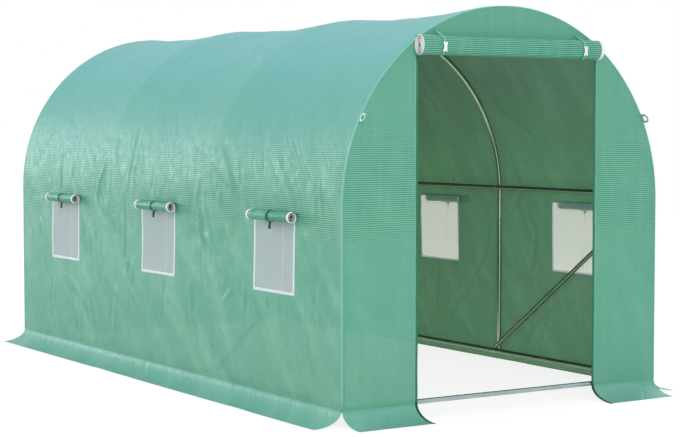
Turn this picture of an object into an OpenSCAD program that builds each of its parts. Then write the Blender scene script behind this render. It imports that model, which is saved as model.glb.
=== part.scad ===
// Walk-in polytunnel greenhouse: a film cover over a frame of bent steel tube.
// Millimetres, +Z up, origin on the ground under the middle of the tunnel.
// +Y runs from the door end to the plain end, and X runs across the door.

/* [Tunnel] */
// Width over the cover
tunnel_w = 2000; // [1800:10:2400]
// Length over the two end walls
tunnel_l = 4000; // [3600:10:6000]
// Height of the upright walls, where the arch springs
wall_h = 1045; // [1000:5:1300]

/* [Frame] */
// Diameter of the frame tubes
tube_d = 25; // [19:1:32]
// Height of the side rails above the springing
side_rail_rise = 30; // [20:5:100]
// Height of the base rails and sill bars over the ground
base_rail_z = 84; // [40:1:120]

/* [Cover] */
// Thickness of the cover
film_t = 3; // [2:0.5:5]
// How far the film dips between two hoops
roof_sag = 24; // [5:1:24]
// Angle above the springing where the dip is full
sag_full_angle = 40; // [20:5:60]
// How far the ground skirt reaches out
skirt_out = 155; // [80:5:250]
// Height over the ground where the skirt leaves the wall
skirt_h = 80; // [60:5:140]

/* [Door] */
// Clear width of the doorway
door_w = 1120; // [800:10:1200]
// How far the doorway's head lies below the crown
door_head_drop = 215; // [185:5:340]
// Width of the hem strip along each jamb
door_hem_w = 20; // [10:1:40]
// Height of the rolled-up door, which hangs as an oval
door_roll_h = 102; // [60:2:110]
// Depth of the rolled-up door
door_roll_d = 82; // [60:2:100]
// How much longer the rolled-up door is than the doorway is wide, on each side
door_roll_over = 12; // [5:1:60]
// How far the rolled-up door and its ties sit towards the left
door_roll_shift = 13; // [0:1:30]
// Height of the roll's axis above the doorway's head
door_roll_rise = 4; // [0:1:20]
// Distance of each door tie from the jamb
door_tie_inset = 115; // [40:5:300]
// Height of the door ties' sewn ends above the doorway's head
door_tie_rise = 78; // [70:1:100]

/* [Windows] */
// Width of a window over its border
window_w = 430; // [300:10:600]
// Height of a window over its border
window_h = 414; // [300:2:420]
// How far a window's upper edge lies below the springing
window_drop = 41; // [30:1:120]
// Width of the white border tape
border_w = 19; // [10:1:40]
// How far the windows sit towards the door from the middle between two hoops
window_shift = 26; // [0:1:60]
// Diameter of a rolled-up window cover
window_roll_d = 58; // [40:2:70]
// How much shorter a rolled-up window cover is than its window is wide
window_roll_short = 6; // [0:1:40]
// How far the rolled-up window covers and their ties sit towards the door
window_roll_shift = 33; // [0:1:60]
// Length of a window tie's hanging tail
tie_tail_l = 36; // [20:1:120]

/* [Guy eyelets] */
// Angle of the eyelets above the springing
eyelet_angle = 26; // [15:1:45]
// Bore of an eyelet
eyelet_bore_d = 28; // [12:1:30]
// Outside diameter of an eyelet's flange
eyelet_flange_d = 42; // [36:1:60]
// How far an eyelet sits in front of the end wall
eyelet_out = 24; // [24:1:60]

/* [Hidden] */

$fn = 64;

// Hoops, the two end hoops included
hoop_count = 4;
// Gap between pieces that bear on each other
clear = 0.3;
// Steps of the film along a half circle and along a bay
arc_steps = 36;
bay_steps = 8;
// Steps of the skirt's curve and of a turn of a roll's white edge
skirt_steps = 10;
spiral_steps = 18;

// Cover
cover_r = tunnel_w / 2;
inner_r = cover_r - film_t;
end_y = tunnel_l / 2;
end_inner_y = end_y - film_t;
crown_z = wall_h + cover_r;

// Frame: the hoops lie inside the film's facets, and the rails inside the hoops
hoop_r = inner_r * cos(90 / arc_steps) - clear - tube_d / 2;
hoop_end_y = end_inner_y - clear - tube_d / 2;
hoop_step = 2 * hoop_end_y / (hoop_count - 1);
rail_r = hoop_r - tube_d - clear;
rail_half_l = hoop_end_y + tube_d / 2;
side_rail_z = wall_h + side_rail_rise;
side_rail_x = sqrt(pow(rail_r, 2) - pow(side_rail_rise, 2));
// The legs end level with the underside of the base rails
leg_foot_z = base_rail_z - tube_d / 2;
base_rail_half_l = hoop_end_y - tube_d / 2 - clear;
sill_half_l = hoop_r - tube_d / 2 - clear;
brace_low_z = base_rail_z + tube_d + clear;
brace_high_z = side_rail_z - tube_d - clear;

// Windows
window_sill_z = wall_h - window_drop - window_h;
mesh_w = window_w - 2 * border_w;
mesh_h = window_h - 2 * border_w;
mesh_t = film_t / 2;
mesh_sill_z = window_sill_z + border_w;
border_t = 2;
tie_t = 1.5;
tie_w = 11;
roll_hem_l = 14;
roll_strip_t = 6;
window_roll_turns = 2.5;
window_roll_l = window_w - window_roll_short;
window_roll_x = cover_r + border_t + 2 * clear + tie_t + window_roll_d / 2;
window_roll_z = window_sill_z + window_h - 0.9 * border_w;
// Thickness of a roll's sewn edge, and its height above the axis as a share of the roll's diameter
neck_t = 2;
neck_rise = 0.4;

// Door
door_h = crown_z - door_head_drop;
door_tie_w = 8;
door_tie_t = 2;
door_tie_x = door_w / 2 - door_tie_inset;
door_tie_anchor_z = door_h + door_tie_rise;
door_roll_l = door_w + 2 * door_roll_over;
door_roll_turns = 4;
door_roll_hem_l = 20;
door_roll_z = door_h + door_roll_rise;
door_roll_y = -end_y - 2 * clear - door_tie_t - door_roll_d / 2;
clip_w = 25;
clip_h = 48;
clip_t = 3;
clip_drop = 8;
jamb_hem_t = 1.5;

// Guy eyelets
eyelet_wall_t = 2;
eyelet_flange_t = 1.5;
tab_end_d = eyelet_flange_d + 8;

film_color = [0.42, 0.68, 0.58];
steel_color = [0.72, 0.75, 0.74];
white_color = [0.93, 0.94, 0.95];
mesh_color = [0.68, 0.75, 0.77, 0.6];
tie_color = [0.10, 0.34, 0.24];

function hoop_y(i) = -hoop_end_y + i * hoop_step;
function bay_start_y(bay) = bay == 0 ? -end_inner_y : hoop_y(bay);
function bay_end_y(bay) = bay == hoop_count - 2 ? end_inner_y : hoop_y(bay + 1);
function window_y(bay) = (hoop_y(bay) + hoop_y(bay + 1)) / 2 - window_shift;
function window_roll_y(bay) = window_y(bay) - window_roll_shift;

// Smooth step from 0 to 1
function ease(s) = s * s * (3 - 2 * s);

// Dip of the film at an angle round the arch and a share t of the bay's length
function dip(angle, t) =
    roof_sag * ease(min(1, sin(angle) / sin(sag_full_angle))) * 4 * t * (1 - t);

// Point of the film, inset from its outer surface
function film_point(angle, y, t, inset) =
    let (r = cover_r - inset - dip(angle, t))
    [-r * cos(angle), y, wall_h + r * sin(angle)];

// Two triangles of a quad
function split(a, b, c, d) = [[a, b, c], [a, c, d]];

// Points of a strip wound into a spiral, out along its outer side and back along its inner side
function spiral_points(r_in, r_out, turns, strip_t, steps) =
    let (
        pitch = (r_out - r_in - strip_t) / turns,
        count = turns * steps,
        out = [for (i = [0 : count]) let (a = i * 360 / steps, r = r_in + strip_t + pitch * i / steps)
            [r * cos(a), r * sin(a)]],
        back = [for (i = [count : -1 : 0]) let (a = i * 360 / steps, r = r_in + pitch * i / steps)
            [r * cos(a), r * sin(a)]]
    )
    concat(out, back);

// Straight tube between two points
module tube_between(a, b, d = tube_d) {
    v = b - a;
    len = norm(v);
    translate(a) rotate([0, acos(v[2] / len), atan2(v[1], v[0])]) cylinder(d = d, h = len);
}

// Frame

module hoop_legs() {
    color(steel_color)
    for (i = [0 : hoop_count - 1], side = [-1, 1])
        translate([side * hoop_r, hoop_y(i), leg_foot_z]) cylinder(d = tube_d, h = wall_h - leg_foot_z);
}

module hoop_arch(i) {
    color(steel_color)
    translate([0, hoop_y(i), wall_h]) rotate([90, 0, 0])
        rotate_extrude(angle = 180, $fn = 96) translate([hoop_r, 0]) circle(d = tube_d);
}

// Tube along the tunnel
module long_rail(x, z, half_l) {
    color(steel_color) tube_between([x, -half_l, z], [x, half_l, z]);
}

// Tube across an end, between the end hoop's two legs
module sill_bar(y) {
    color(steel_color) tube_between([-sill_half_l, y, base_rail_z], [sill_half_l, y, base_rail_z]);
}

// Braces from the foot of an inner hoop up to the end hoop, on both sides and at both ends
module side_braces() {
    color(steel_color)
    for (side = [-1, 1], end = [-1, 1])
        tube_between(
            [side * rail_r, end * (hoop_end_y - hoop_step), brace_low_z],
            [side * rail_r, end * hoop_end_y, brace_high_z]
        );
}

// Cover

// Upright wall of one bay, with its window opening cut through
module wall_bay(side, bay) {
    color(film_color)
    difference() {
        translate([side > 0 ? inner_r : -cover_r, bay_start_y(bay), skirt_h])
            cube([film_t, bay_end_y(bay) - bay_start_y(bay), wall_h - skirt_h]);
        translate([side * (inner_r + film_t / 2) - 1.5 * film_t, window_y(bay) - mesh_w / 2, mesh_sill_z])
            cube([3 * film_t, mesh_w, mesh_h]);
    }
}

// Film over one bay, dipping between its two hoops
module roof_bay(bay) {
    y0 = bay_start_y(bay);
    y1 = bay_end_y(bay);
    row = arc_steps + 1;
    layer = row * (bay_steps + 1);
    points = [for (inset = [0, film_t], i = [0 : bay_steps], j = [0 : arc_steps])
        film_point(j * 180 / arc_steps, y0 + (y1 - y0) * i / bay_steps, i / bay_steps, inset)];
    outer = [for (i = [0 : bay_steps - 1], j = [0 : arc_steps - 1]) let (p = i * row + j)
        each split(p, p + row, p + row + 1, p + 1)];
    inner = [for (i = [0 : bay_steps - 1], j = [0 : arc_steps - 1]) let (p = layer + i * row + j)
        each split(p, p + 1, p + row + 1, p + row)];
    near_end = [for (j = [0 : arc_steps - 1]) each split(j, j + 1, layer + j + 1, layer + j)];
    far_end = [for (j = [0 : arc_steps - 1]) let (p = bay_steps * row + j)
        each split(p, layer + p, layer + p + 1, p + 1)];
    left_edge = [for (i = [0 : bay_steps - 1]) let (p = i * row)
        each split(p, layer + p, layer + p + row, p + row)];
    right_edge = [for (i = [0 : bay_steps - 1]) let (p = i * row + arc_steps)
        each split(layer + p, p, p + row, layer + p + row)];
    color(film_color)
        polyhedron(points, concat(outer, inner, near_end, far_end, left_edge, right_edge), convexity = 4);
}

// Outline of an end wall above the skirt, drawn in X and Z
module end_outline() {
    translate([-cover_r, skirt_h]) square([tunnel_w, wall_h - skirt_h]);
    intersection() {
        translate([0, wall_h]) circle(r = cover_r, $fn = 180);
        translate([-cover_r, wall_h]) square([tunnel_w, cover_r]);
    }
}

// Sheet of film standing across the tunnel, from y towards the plain end
module end_sheet(y) {
    translate([0, y + film_t, 0]) rotate([90, 0, 0]) linear_extrude(film_t) children();
}

module front_wall_side(side) {
    color(film_color)
    end_sheet(-end_y) intersection() {
        end_outline();
        translate([side > 0 ? door_w / 2 : -cover_r, 0]) square([cover_r - door_w / 2, crown_z]);
    }
}

module front_wall_top() {
    color(film_color)
    end_sheet(-end_y) intersection() {
        end_outline();
        translate([-door_w / 2, door_h]) square([door_w, crown_z - door_h]);
    }
}

module back_wall() {
    color(film_color) end_sheet(end_inner_y) end_outline();
}

// Skirt section: x outwards from the wall's outer face, y up, a quarter ellipse of film
module skirt_section() {
    curve = [for (i = [0 : skirt_steps]) 90 * i / skirt_steps];
    upper = [for (a = curve) [skirt_out * (1 - cos(a)), skirt_h - (skirt_h - film_t) * sin(a)]];
    under = [for (a = curve) [skirt_out - (skirt_out + film_t) * cos(a), skirt_h - skirt_h * sin(a)]];
    polygon(concat(upper, [for (i = [skirt_steps : -1 : 0]) under[i]]));
}

// Skirt along the left or right wall
module side_skirt(side) {
    color(film_color)
    mirror([side > 0 ? 0 : 1, 0, 0]) translate([cover_r, end_inner_y, 0]) rotate([90, 0, 0])
        linear_extrude(2 * end_inner_y) skirt_section();
}

// Skirt along a stretch of an end wall
module end_skirt(end, x0, x1) {
    color(film_color)
    mirror([0, end > 0 ? 0 : 1, 0]) translate([x0, end_y, 0]) rotate([90, 0, 90])
        linear_extrude(x1 - x0) skirt_section();
}

module front_skirts() {
    end_skirt(-1, -cover_r, -door_w / 2);
    end_skirt(-1, door_w / 2, cover_r);
}

// Windows

module window_meshes(side) {
    color(mesh_color)
    for (bay = [0 : hoop_count - 2])
        translate([side > 0 ? inner_r : -inner_r - mesh_t, window_y(bay) - mesh_w / 2, mesh_sill_z])
            cube([mesh_t, mesh_w, mesh_h]);
}

// White tape round each window, on the outer face of the wall
module window_borders(side) {
    color(white_color)
    for (bay = [0 : hoop_count - 2])
        translate([side > 0 ? cover_r : -cover_r - border_t, window_y(bay), window_sill_z])
        difference() {
            translate([0, -window_w / 2, 0]) cube([border_t, window_w, window_h]);
            translate([-border_t, -mesh_w / 2, border_w]) cube([3 * border_t, mesh_w, mesh_h]);
        }
}

// Rolled-up cover of each window, hung from the wall by its sewn top edge on both sides of the tie
module window_rolls(side) {
    body_l = window_roll_l - 2 * roll_hem_l;
    tie_gap = tie_w + 2;
    neck_l = (body_l - tie_gap) / 2;
    neck_z = neck_rise * window_roll_d;
    color(film_color)
    for (bay = [0 : hoop_count - 2])
        translate([side * window_roll_x, window_roll_y(bay), window_roll_z])
        mirror([side > 0 ? 0 : 1, 0, 0]) {
            translate([0, body_l / 2, 0]) rotate([90, 0, 0]) cylinder(d = window_roll_d, h = body_l);
            for (end = [-1, 1])
                translate([cover_r - window_roll_x, (end * (tie_gap + neck_l) - neck_l) / 2, neck_z])
                    cube([window_roll_x - cover_r, neck_l, neck_t]);
        }
}

// White edge of a rolled sheet, wound into a spiral
module roll_hem(d, turns, l) {
    linear_extrude(l) polygon(spiral_points(roll_strip_t / 2, d / 2, turns, roll_strip_t, spiral_steps));
}

module window_roll_hems() {
    color(white_color)
    for (side = [-1, 1], bay = [0 : hoop_count - 2], end = [-1, 1])
        translate([side * window_roll_x, window_roll_y(bay), window_roll_z]) rotate([90, 0, 0])
            translate([0, 0, (end * (window_roll_l - roll_hem_l) - roll_hem_l) / 2])
                roll_hem(window_roll_d, window_roll_turns, roll_hem_l);
}

// Tape tied round each rolled window cover, with a tail that hangs down
module window_ties() {
    ring_r = window_roll_d / 2 + clear;
    color(tie_color)
    for (side = [-1, 1], bay = [0 : hoop_count - 2])
        translate([side * window_roll_x, window_roll_y(bay) + tie_w / 2, window_roll_z]) {
            rotate([90, 0, 0]) difference() {
                cylinder(r = ring_r + tie_t, h = tie_w);
                translate([0, 0, -1]) cylinder(r = ring_r, h = tie_w + 2);
            }
            translate([-tie_t / 2, -tie_w, -ring_r - tie_tail_l]) cube([tie_t, tie_w, tie_tail_l]);
        }
}

// Door

// Bar along X with an oval section
module oval_bar(height, depth, l) {
    rotate([0, 90, 0]) scale([height / depth, 1, 1]) cylinder(d = depth, h = l);
}

// Rolled-up door, hung from the wall over the doorway by its sewn top edge, apart from at the ties
module door_roll() {
    body_l = door_roll_l - 2 * door_roll_hem_l;
    tie_gap = door_tie_w + 2;
    inner_l = 2 * door_tie_x - tie_gap;
    outer_l = body_l / 2 - 1 - door_tie_x - tie_gap / 2;
    color(film_color)
    translate([-door_roll_shift, door_roll_y, door_roll_z]) {
        translate([-body_l / 2, 0, 0]) oval_bar(door_roll_h, door_roll_d, body_l);
        translate([0, 0, neck_rise * door_roll_h]) {
            translate([-inner_l / 2, 0, 0]) cube([inner_l, -end_y - door_roll_y, neck_t]);
            for (side = [-1, 1])
                translate([side * (door_tie_x + tie_gap / 2 + outer_l / 2) - outer_l / 2, 0, 0])
                    cube([outer_l, -end_y - door_roll_y, neck_t]);
        }
    }
}

module door_roll_hems() {
    color(white_color)
    for (end = [-1, 1])
        translate([-door_roll_shift, door_roll_y, door_roll_z]) rotate([0, 90, 0])
            translate([0, 0, (end * (door_roll_l - door_roll_hem_l) - door_roll_hem_l) / 2])
                scale([door_roll_h / door_roll_d, 1, 1])
                    roll_hem(door_roll_d, door_roll_turns, door_roll_hem_l);
}

// Loop round the rolled door, hung from the end wall by a strap
module door_ties() {
    ring_over = 2 * (clear + door_tie_t);
    strap_top = [-end_y - door_tie_t / 2 - clear, door_tie_anchor_z];
    strap_foot = [door_roll_y, door_roll_z + (door_roll_h + ring_over - door_tie_t) / 2];
    strap = strap_top - strap_foot;
    color(tie_color)
    for (side = [-1, 1])
        translate([side * door_tie_x - door_roll_shift - door_tie_w / 2, 0, 0]) {
            translate([0, door_roll_y, door_roll_z]) difference() {
                oval_bar(door_roll_h + ring_over, door_roll_d + ring_over, door_tie_w);
                translate([-1, 0, 0])
                    oval_bar(door_roll_h + 2 * clear, door_roll_d + 2 * clear, door_tie_w + 2);
            }
            translate([0, strap_foot[0], strap_foot[1]]) rotate([atan2(strap[1], strap[0]), 0, 0])
                translate([0.5, 0, -door_tie_t / 2]) cube([door_tie_w - 1, norm(strap), door_tie_t]);
        }
}

// White clip on each door tie, forked at both ends
module door_tie_clips() {
    clip_y = door_roll_y - door_roll_d / 2 - 2 * clear - door_tie_t;
    color(white_color)
    for (side = [-1, 1])
        translate([side * door_tie_x - door_roll_shift, clip_y, door_roll_z - clip_drop]) rotate([90, 0, 0])
            linear_extrude(clip_t) difference() {
                square([clip_w, clip_h], center = true);
                for (end = [-1, 1]) {
                    translate([0, end * clip_h / 2]) circle(d = clip_w / 2);
                    translate([end * clip_w * 0.62, 0]) circle(d = clip_w / 2);
                }
            }
}

// Hem strip along each jamb of the doorway
module door_jamb_hems() {
    color(tie_color)
    for (side = [-1, 1])
        translate([side * (door_w + door_hem_w) / 2 - door_hem_w / 2, -end_y - jamb_hem_t, skirt_h])
            cube([door_hem_w, jamb_hem_t, door_roll_z - door_roll_h / 2 - skirt_h]);
}

// Guy eyelets

// Puts its children on the arch at the eyelets' angle, with Z along the radius and Y along the tunnel
module at_eyelet(side) {
    translate([0, -end_y - eyelet_out, wall_h]) mirror([side > 0 ? 0 : 1, 0, 0])
        rotate([0, 90 - eyelet_angle, 0]) translate([0, 0, cover_r - film_t]) children();
}

// Tongue of film in front of the end wall that holds an eyelet
module guy_tabs() {
    color(film_color)
    for (side = [-1, 1]) at_eyelet(side) linear_extrude(film_t) difference() {
        union() {
            circle(d = tab_end_d);
            translate([-tab_end_d / 2, 0]) square([tab_end_d, eyelet_out]);
        }
        circle(d = eyelet_bore_d + 2 * eyelet_wall_t + 2 * clear);
    }
}

// Pressed metal eyelet: a short tube with a flange on each face of the tab
module guy_eyelets() {
    bore_r = eyelet_bore_d / 2;
    flange_w = eyelet_flange_d / 2 - bore_r;
    color(steel_color)
    for (side = [-1, 1]) at_eyelet(side) rotate_extrude() {
        translate([bore_r, -clear]) square([eyelet_wall_t, film_t + 2 * clear]);
        translate([bore_r, film_t + clear]) square([flange_w, eyelet_flange_t]);
        translate([bore_r, -clear - eyelet_flange_t]) square([flange_w, eyelet_flange_t]);
    }
}

hoop_legs();
hoop_arch(0);  // front_arch
hoop_arch(1);  // second_arch
hoop_arch(2);  // third_arch
hoop_arch(3);  // back_arch
long_rail(0, wall_h + rail_r, rail_half_l);  // ridge_rail
long_rail(-side_rail_x, side_rail_z, rail_half_l);  // left_side_rail
long_rail(side_rail_x, side_rail_z, rail_half_l);  // right_side_rail
long_rail(-rail_r, base_rail_z, base_rail_half_l);  // left_base_rail
long_rail(rail_r, base_rail_z, base_rail_half_l);  // right_base_rail
sill_bar(-hoop_end_y);  // front_sill_bar
sill_bar(hoop_end_y);  // back_sill_bar
side_braces();
wall_bay(-1, 0);  // left_wall_front_bay
wall_bay(-1, 1);  // left_wall_middle_bay
wall_bay(-1, 2);  // left_wall_back_bay
wall_bay(1, 0);  // right_wall_front_bay
wall_bay(1, 1);  // right_wall_middle_bay
wall_bay(1, 2);  // right_wall_back_bay
roof_bay(0);  // roof_front_bay
roof_bay(1);  // roof_middle_bay
roof_bay(2);  // roof_back_bay
front_wall_side(-1);  // front_wall_left
front_wall_side(1);  // front_wall_right
front_wall_top();
back_wall();
side_skirt(-1);  // left_skirt
side_skirt(1);  // right_skirt
front_skirts();
end_skirt(1, -cover_r, cover_r);  // back_skirt
window_meshes(-1);  // left_window_meshes
window_meshes(1);  // right_window_meshes
window_borders(-1);  // left_window_borders
window_borders(1);  // right_window_borders
window_rolls(-1);  // left_window_rolls
window_rolls(1);  // right_window_rolls
window_roll_hems();
window_ties();
door_roll();
door_roll_hems();
door_ties();
door_tie_clips();
door_jamb_hems();
guy_tabs();
guy_eyelets();
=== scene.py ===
import math
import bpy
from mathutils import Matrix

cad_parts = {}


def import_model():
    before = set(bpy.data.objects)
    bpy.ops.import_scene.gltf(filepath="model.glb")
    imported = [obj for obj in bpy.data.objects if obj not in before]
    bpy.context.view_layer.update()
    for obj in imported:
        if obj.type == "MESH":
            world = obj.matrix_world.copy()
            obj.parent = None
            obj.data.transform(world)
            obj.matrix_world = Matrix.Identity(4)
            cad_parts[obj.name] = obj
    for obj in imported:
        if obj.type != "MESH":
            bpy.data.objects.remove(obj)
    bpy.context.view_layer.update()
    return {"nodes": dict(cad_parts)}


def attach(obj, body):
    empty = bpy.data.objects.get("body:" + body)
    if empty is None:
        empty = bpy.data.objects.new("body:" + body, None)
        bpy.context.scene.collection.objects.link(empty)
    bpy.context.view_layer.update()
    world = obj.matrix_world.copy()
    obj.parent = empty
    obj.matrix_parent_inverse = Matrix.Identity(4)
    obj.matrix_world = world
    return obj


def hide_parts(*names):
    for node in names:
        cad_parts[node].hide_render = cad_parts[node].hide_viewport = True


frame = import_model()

from types import SimpleNamespace

import bpy
import numpy as np

rng = np.random.default_rng(11)

# Sizes of the part in metres, as in its source
COVER_R = 1.0
WALL_H = 1.045
END_Y = 2.0
FILM_END_Y = 1.997
SKIRT_H = 0.08
SKIRT_OUT = 0.155
HOOP_Y = (-1.9842, -0.6614, 0.6614, 1.9842)
RAIL_R = 0.95795
TUBE_R = 0.0125
SIDE_RAIL_X = 0.9575
SIDE_RAIL_Z = 1.075
BASE_RAIL_Z = 0.084
# Heights of a brace's ends, and how far its bolts lie from them along the tunnel and up
BRACE_Z = (0.1093, 1.0497)
BRACE_BOLT = (0.028, 0.020)
ROOF_SAG = 0.024
SAG_FULL_ANGLE = math.radians(40)
DOOR_HALF = 0.56
DOOR_HEAD = 1.83
DOOR_ROLL_X = -0.013
DOOR_ROLL_Y = -2.0436
DOOR_ROLL_Z = 1.834
DOOR_ROLL_HALF_H = 0.051
DOOR_ROLL_HALF_D = 0.041
DOOR_ROLL_L = 1.144
DOOR_TIE_X = 0.445
DOOR_TIE_TOP = 1.908
WINDOW_Y = (-1.3488, -0.026, 1.2968)
WINDOW_NAMES = ("front", "middle", "back")
BORDER_W = 0.015
TOP_BORDER_W = 0.004
# How far the film is cut back under the border, at the sides and sill, and at the head
CUT_BACK = 0.010
CUT_BACK_HEAD = 0.002
NET_W = 0.392
NET_H = 0.391
NET_SILL = 0.609
NET_HEAD = NET_SILL + NET_H
NET_MIDDLE = NET_SILL + NET_H / 2
# How far a net's pale seam lies from its middle, towards the door
NET_SEAM = 0.085
WINDOW_ROLL_X = 1.0331
WINDOW_ROLL_Z = 0.9869
WINDOW_ROLL_R = 0.029
WINDOW_ROLL_L = 0.424
WINDOW_ROLL_SHIFT = 0.033
ROLL_HEM_L = 0.014
EYELET_ANGLE = math.radians(26)
EYELET_Y = -2.024
EYELET_BORE_R = 0.014
EYELET_FLANGE_R = 0.021

# Spacing of mesh points on the walls, the haunches, the roof and the end walls
WALL_STEP = 0.0135
HAUNCH_STEP = 0.0140
ROOF_STEP = 0.028
END_STEP = 0.0145
# Length of the haunches, where folds show most
HAUNCH_L = 0.5
SKIRT_STEPS = 14
SKIRT_RIM_Z = 0.0012
# Length of a skirt along its curve, near enough
SKIRT_FALL = 0.19
# Share of the roof's sag that the top of a wall has, and the width of the film's bend over a hoop
WALL_SAG_SHARE = 0.36
HOOP_BEND = 0.018

# Spacing of the film's reinforcing threads
THREAD_PITCH = 0.0105
# Shares of the pitch where a thread is full and where it ends
THREAD_EDGE = (0.17, 0.33)
THREAD_MEAN = 0.57
# Share of the crinkle's relief that the film's creases have
CREASE_DEPTH = 0.5
CREASE_INSIDE = 0.6
# Share of pale colour painted along the creases as highlight
CREASE_HIGHLIGHT_SHARE = 0.75
CREASE_TURN = (1.11, 0, 0.785)
CREASE_STRETCH = (900, 4.0, 1)
# Share of the roof's paler, bluer tone that is painted sky sheen
ROOF_SKY_SHEEN = 0.5
FOLD_GAIN = 2.5
# Wall folds seen in the photo: y and z of both ends, width, height and sideways bow
WALL_FOLDS = (
    (0.706, 1.218, 0.808, 0.959, 0.024, 0.0042, 0.020),
    (0.806, 1.067, 0.648, 0.898, 0.020, 0.0030, 0.012),
    (-0.532, 1.131, -0.478, 0.911, 0.022, 0.0036, 0.010),
    (-0.478, 0.911, -0.927, 0.547, 0.024, 0.0046, -0.045),
    (-0.682, 0.741, -0.879, 0.566, 0.018, 0.0030, -0.020),
    (-0.395, 0.625, -0.525, 0.464, 0.018, 0.0024, 0.010),
    (-1.648, 0.912, -1.853, 0.635, 0.022, 0.0036, -0.020),
    (0.463, 0.721, 0.314, 0.521, 0.018, 0.0028, 0.012),
    (0.718, 0.544, 0.438, 0.353, 0.020, 0.0028, -0.020),
    (1.048, 0.548, 0.824, 0.130, 0.024, 0.0036, -0.020),
    (1.397, 0.552, 1.189, 0.398, 0.018, 0.0026, 0.010),
    (0.314, 0.469, 0.053, 0.209, 0.020, 0.0030, -0.020),
    (-0.149, 0.494, -0.418, 0.258, 0.020, 0.0030, -0.020),
    (1.292, 0.503, 0.854, 0.206, 0.022, 0.0030, -0.026),
    (-0.927, 0.582, -0.805, 0.489, 0.014, 0.0024, 0.010),
    (-1.772, 0.725, -1.893, 0.606, 0.014, 0.0022, 0.008),
    (0.553, 0.902, 0.431, 0.776, 0.016, 0.0024, 0.008),
    (-0.760, 1.102, -0.784, 1.008, 0.016, 0.0024, 0.006),
    (-0.857, 0.917, -0.881, 0.824, 0.016, 0.0022, 0.006),
    (1.721, 0.851, 1.612, 0.711, 0.018, 0.0026, 0.010),
    (0.942, 0.844, 0.880, 0.587, 0.020, 0.0030, 0.012),
)
# Folds seen on the right side from the inside: y and distance round from the crown, and the rest as above
INNER_FOLDS = (
    (-0.822, 1.075, -1.086, 1.267, 0.016, 0.0045, 0.010),
    (-1.086, 1.267, -1.256, 1.325, 0.015, 0.0029, 0.004),
    (-0.791, 1.128, -1.103, 1.142, 0.016, 0.0034, 0.012),
    (-0.807, 1.135, -0.912, 1.212, 0.015, -0.0032, -0.006),
    (-0.245, 0.744, -0.470, 0.709, 0.020, -0.0048, 0.010),
    (-0.470, 0.709, -0.581, 0.791, 0.020, -0.0040, 0.010),
    (-0.126, 0.914, -0.234, 1.035, 0.018, 0.0038, -0.012),
    (-0.150, 1.133, -0.308, 1.214, 0.018, -0.0038, -0.010),
    (-0.308, 1.214, -0.635, 1.147, 0.018, 0.0038, 0.014),
    (-0.452, 1.213, -0.471, 1.290, 0.015, 0.0032, 0.004),
    (-0.192, 0.785, -0.150, 0.899, 0.016, 0.0029, 0.006),
    (-0.154, 2.213, -0.334, 2.274, 0.016, 0.0029, 0.006),
    (0.219, 2.348, -0.026, 2.403, 0.018, -0.0038, 0.006),
    (-1.030, 2.272, -0.910, 2.456, 0.015, 0.0027, 0.006),
    (-1.140, 2.291, -1.041, 2.472, 0.015, -0.0024, -0.004),
    (0.142, 1.906, 0.053, 2.043, 0.016, 0.0024, 0.006),
)


ALONG = np.array([0, 1.0, 0])


def srgb(red, green, blue):
    """Linear colour of an sRGB colour given from 0 to 255."""
    def linear(value):
        share = value / 255
        return share / 12.92 if share <= 0.04045 else ((share + 0.055) / 1.055) ** 2.4
    return (linear(red), linear(green), linear(blue), 1.0)


def ease(low, high, value):
    """Smooth step of value from 0 at low to 1 at high."""
    t = np.clip((value - low) / (high - low), 0, 1)
    return t * t * (3 - 2 * t)


def spread(stops, step):
    """Values through all the stops, about a step apart."""
    values = [stops[0]]
    for a, b in zip(stops, stops[1:]):
        count = max(1, round(abs(b - a) / step))
        values += list(np.linspace(a, b, count + 1)[1:])
    return np.array(values)


def middles(values):
    return (values[1:] + values[:-1]) / 2


def full_turn(count):
    return np.linspace(0, 2 * math.pi, count, endpoint=False)


# Mesh helpers


def grid_quads(rows, cols, keep=None, close_rows=False, close_cols=False):
    """Quads over a grid of points, row by row, joined end to start where asked."""
    index = np.arange(rows * cols).reshape(rows, cols)
    if close_rows:
        index = np.vstack([index, index[:1]])
    if close_cols:
        index = np.hstack([index, index[:, :1]])
    quads = np.stack([index[:-1, :-1], index[:-1, 1:], index[1:, 1:], index[1:, :-1]], -1)
    return quads[keep] if keep is not None else quads.reshape(-1, 4)


def tube_faces(rows, cols):
    """Faces of a tube of points, row by row, with both ends closed."""
    faces = grid_quads(rows, cols, close_cols=True).tolist()
    faces.append(list(range(cols - 1, -1, -1)))
    faces.append(list(range((rows - 1) * cols, rows * cols)))
    return faces


def build(name, points, faces, uv, material, nodes=()):
    """Mesh object on the root body, with a material and the nodes it stands for."""
    points = np.asarray(points, float).reshape(-1, 3)
    uv = np.asarray(uv, float).reshape(-1, 2)
    used = np.unique(np.concatenate([np.asarray(face) for face in faces]))
    renumber = np.full(len(points), -1)
    renumber[used] = np.arange(len(used))
    faces = [[int(renumber[i]) for i in face] for face in faces]
    mesh = bpy.data.meshes.new(name)
    mesh.from_pydata(points[used].tolist(), [], faces)
    layer = mesh.uv_layers.new(name="metres")
    loops = np.zeros(len(mesh.loops), int)
    mesh.loops.foreach_get("vertex_index", loops)
    layer.data.foreach_set("uv", uv[used][loops].ravel())
    mesh.polygons.foreach_set("use_smooth", np.ones(len(mesh.polygons), bool))
    mesh.materials.append(material)
    mesh.update()
    piece = bpy.data.objects.new(name, mesh)
    bpy.context.scene.collection.objects.link(piece)
    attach(piece, "root")
    if nodes:
        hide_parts(*nodes)
    return piece


def signed_volume(points, faces):
    """Volume of a closed solid, below zero where its faces point inwards."""
    corners = [(face[0], b, c) for face in faces for b, c in zip(face[1:-1], face[2:])]
    a, b, c = (points - points.mean(axis=0))[np.array(corners)].transpose(1, 0, 2)
    return np.sum(a * np.cross(b, c)) / 6


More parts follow.
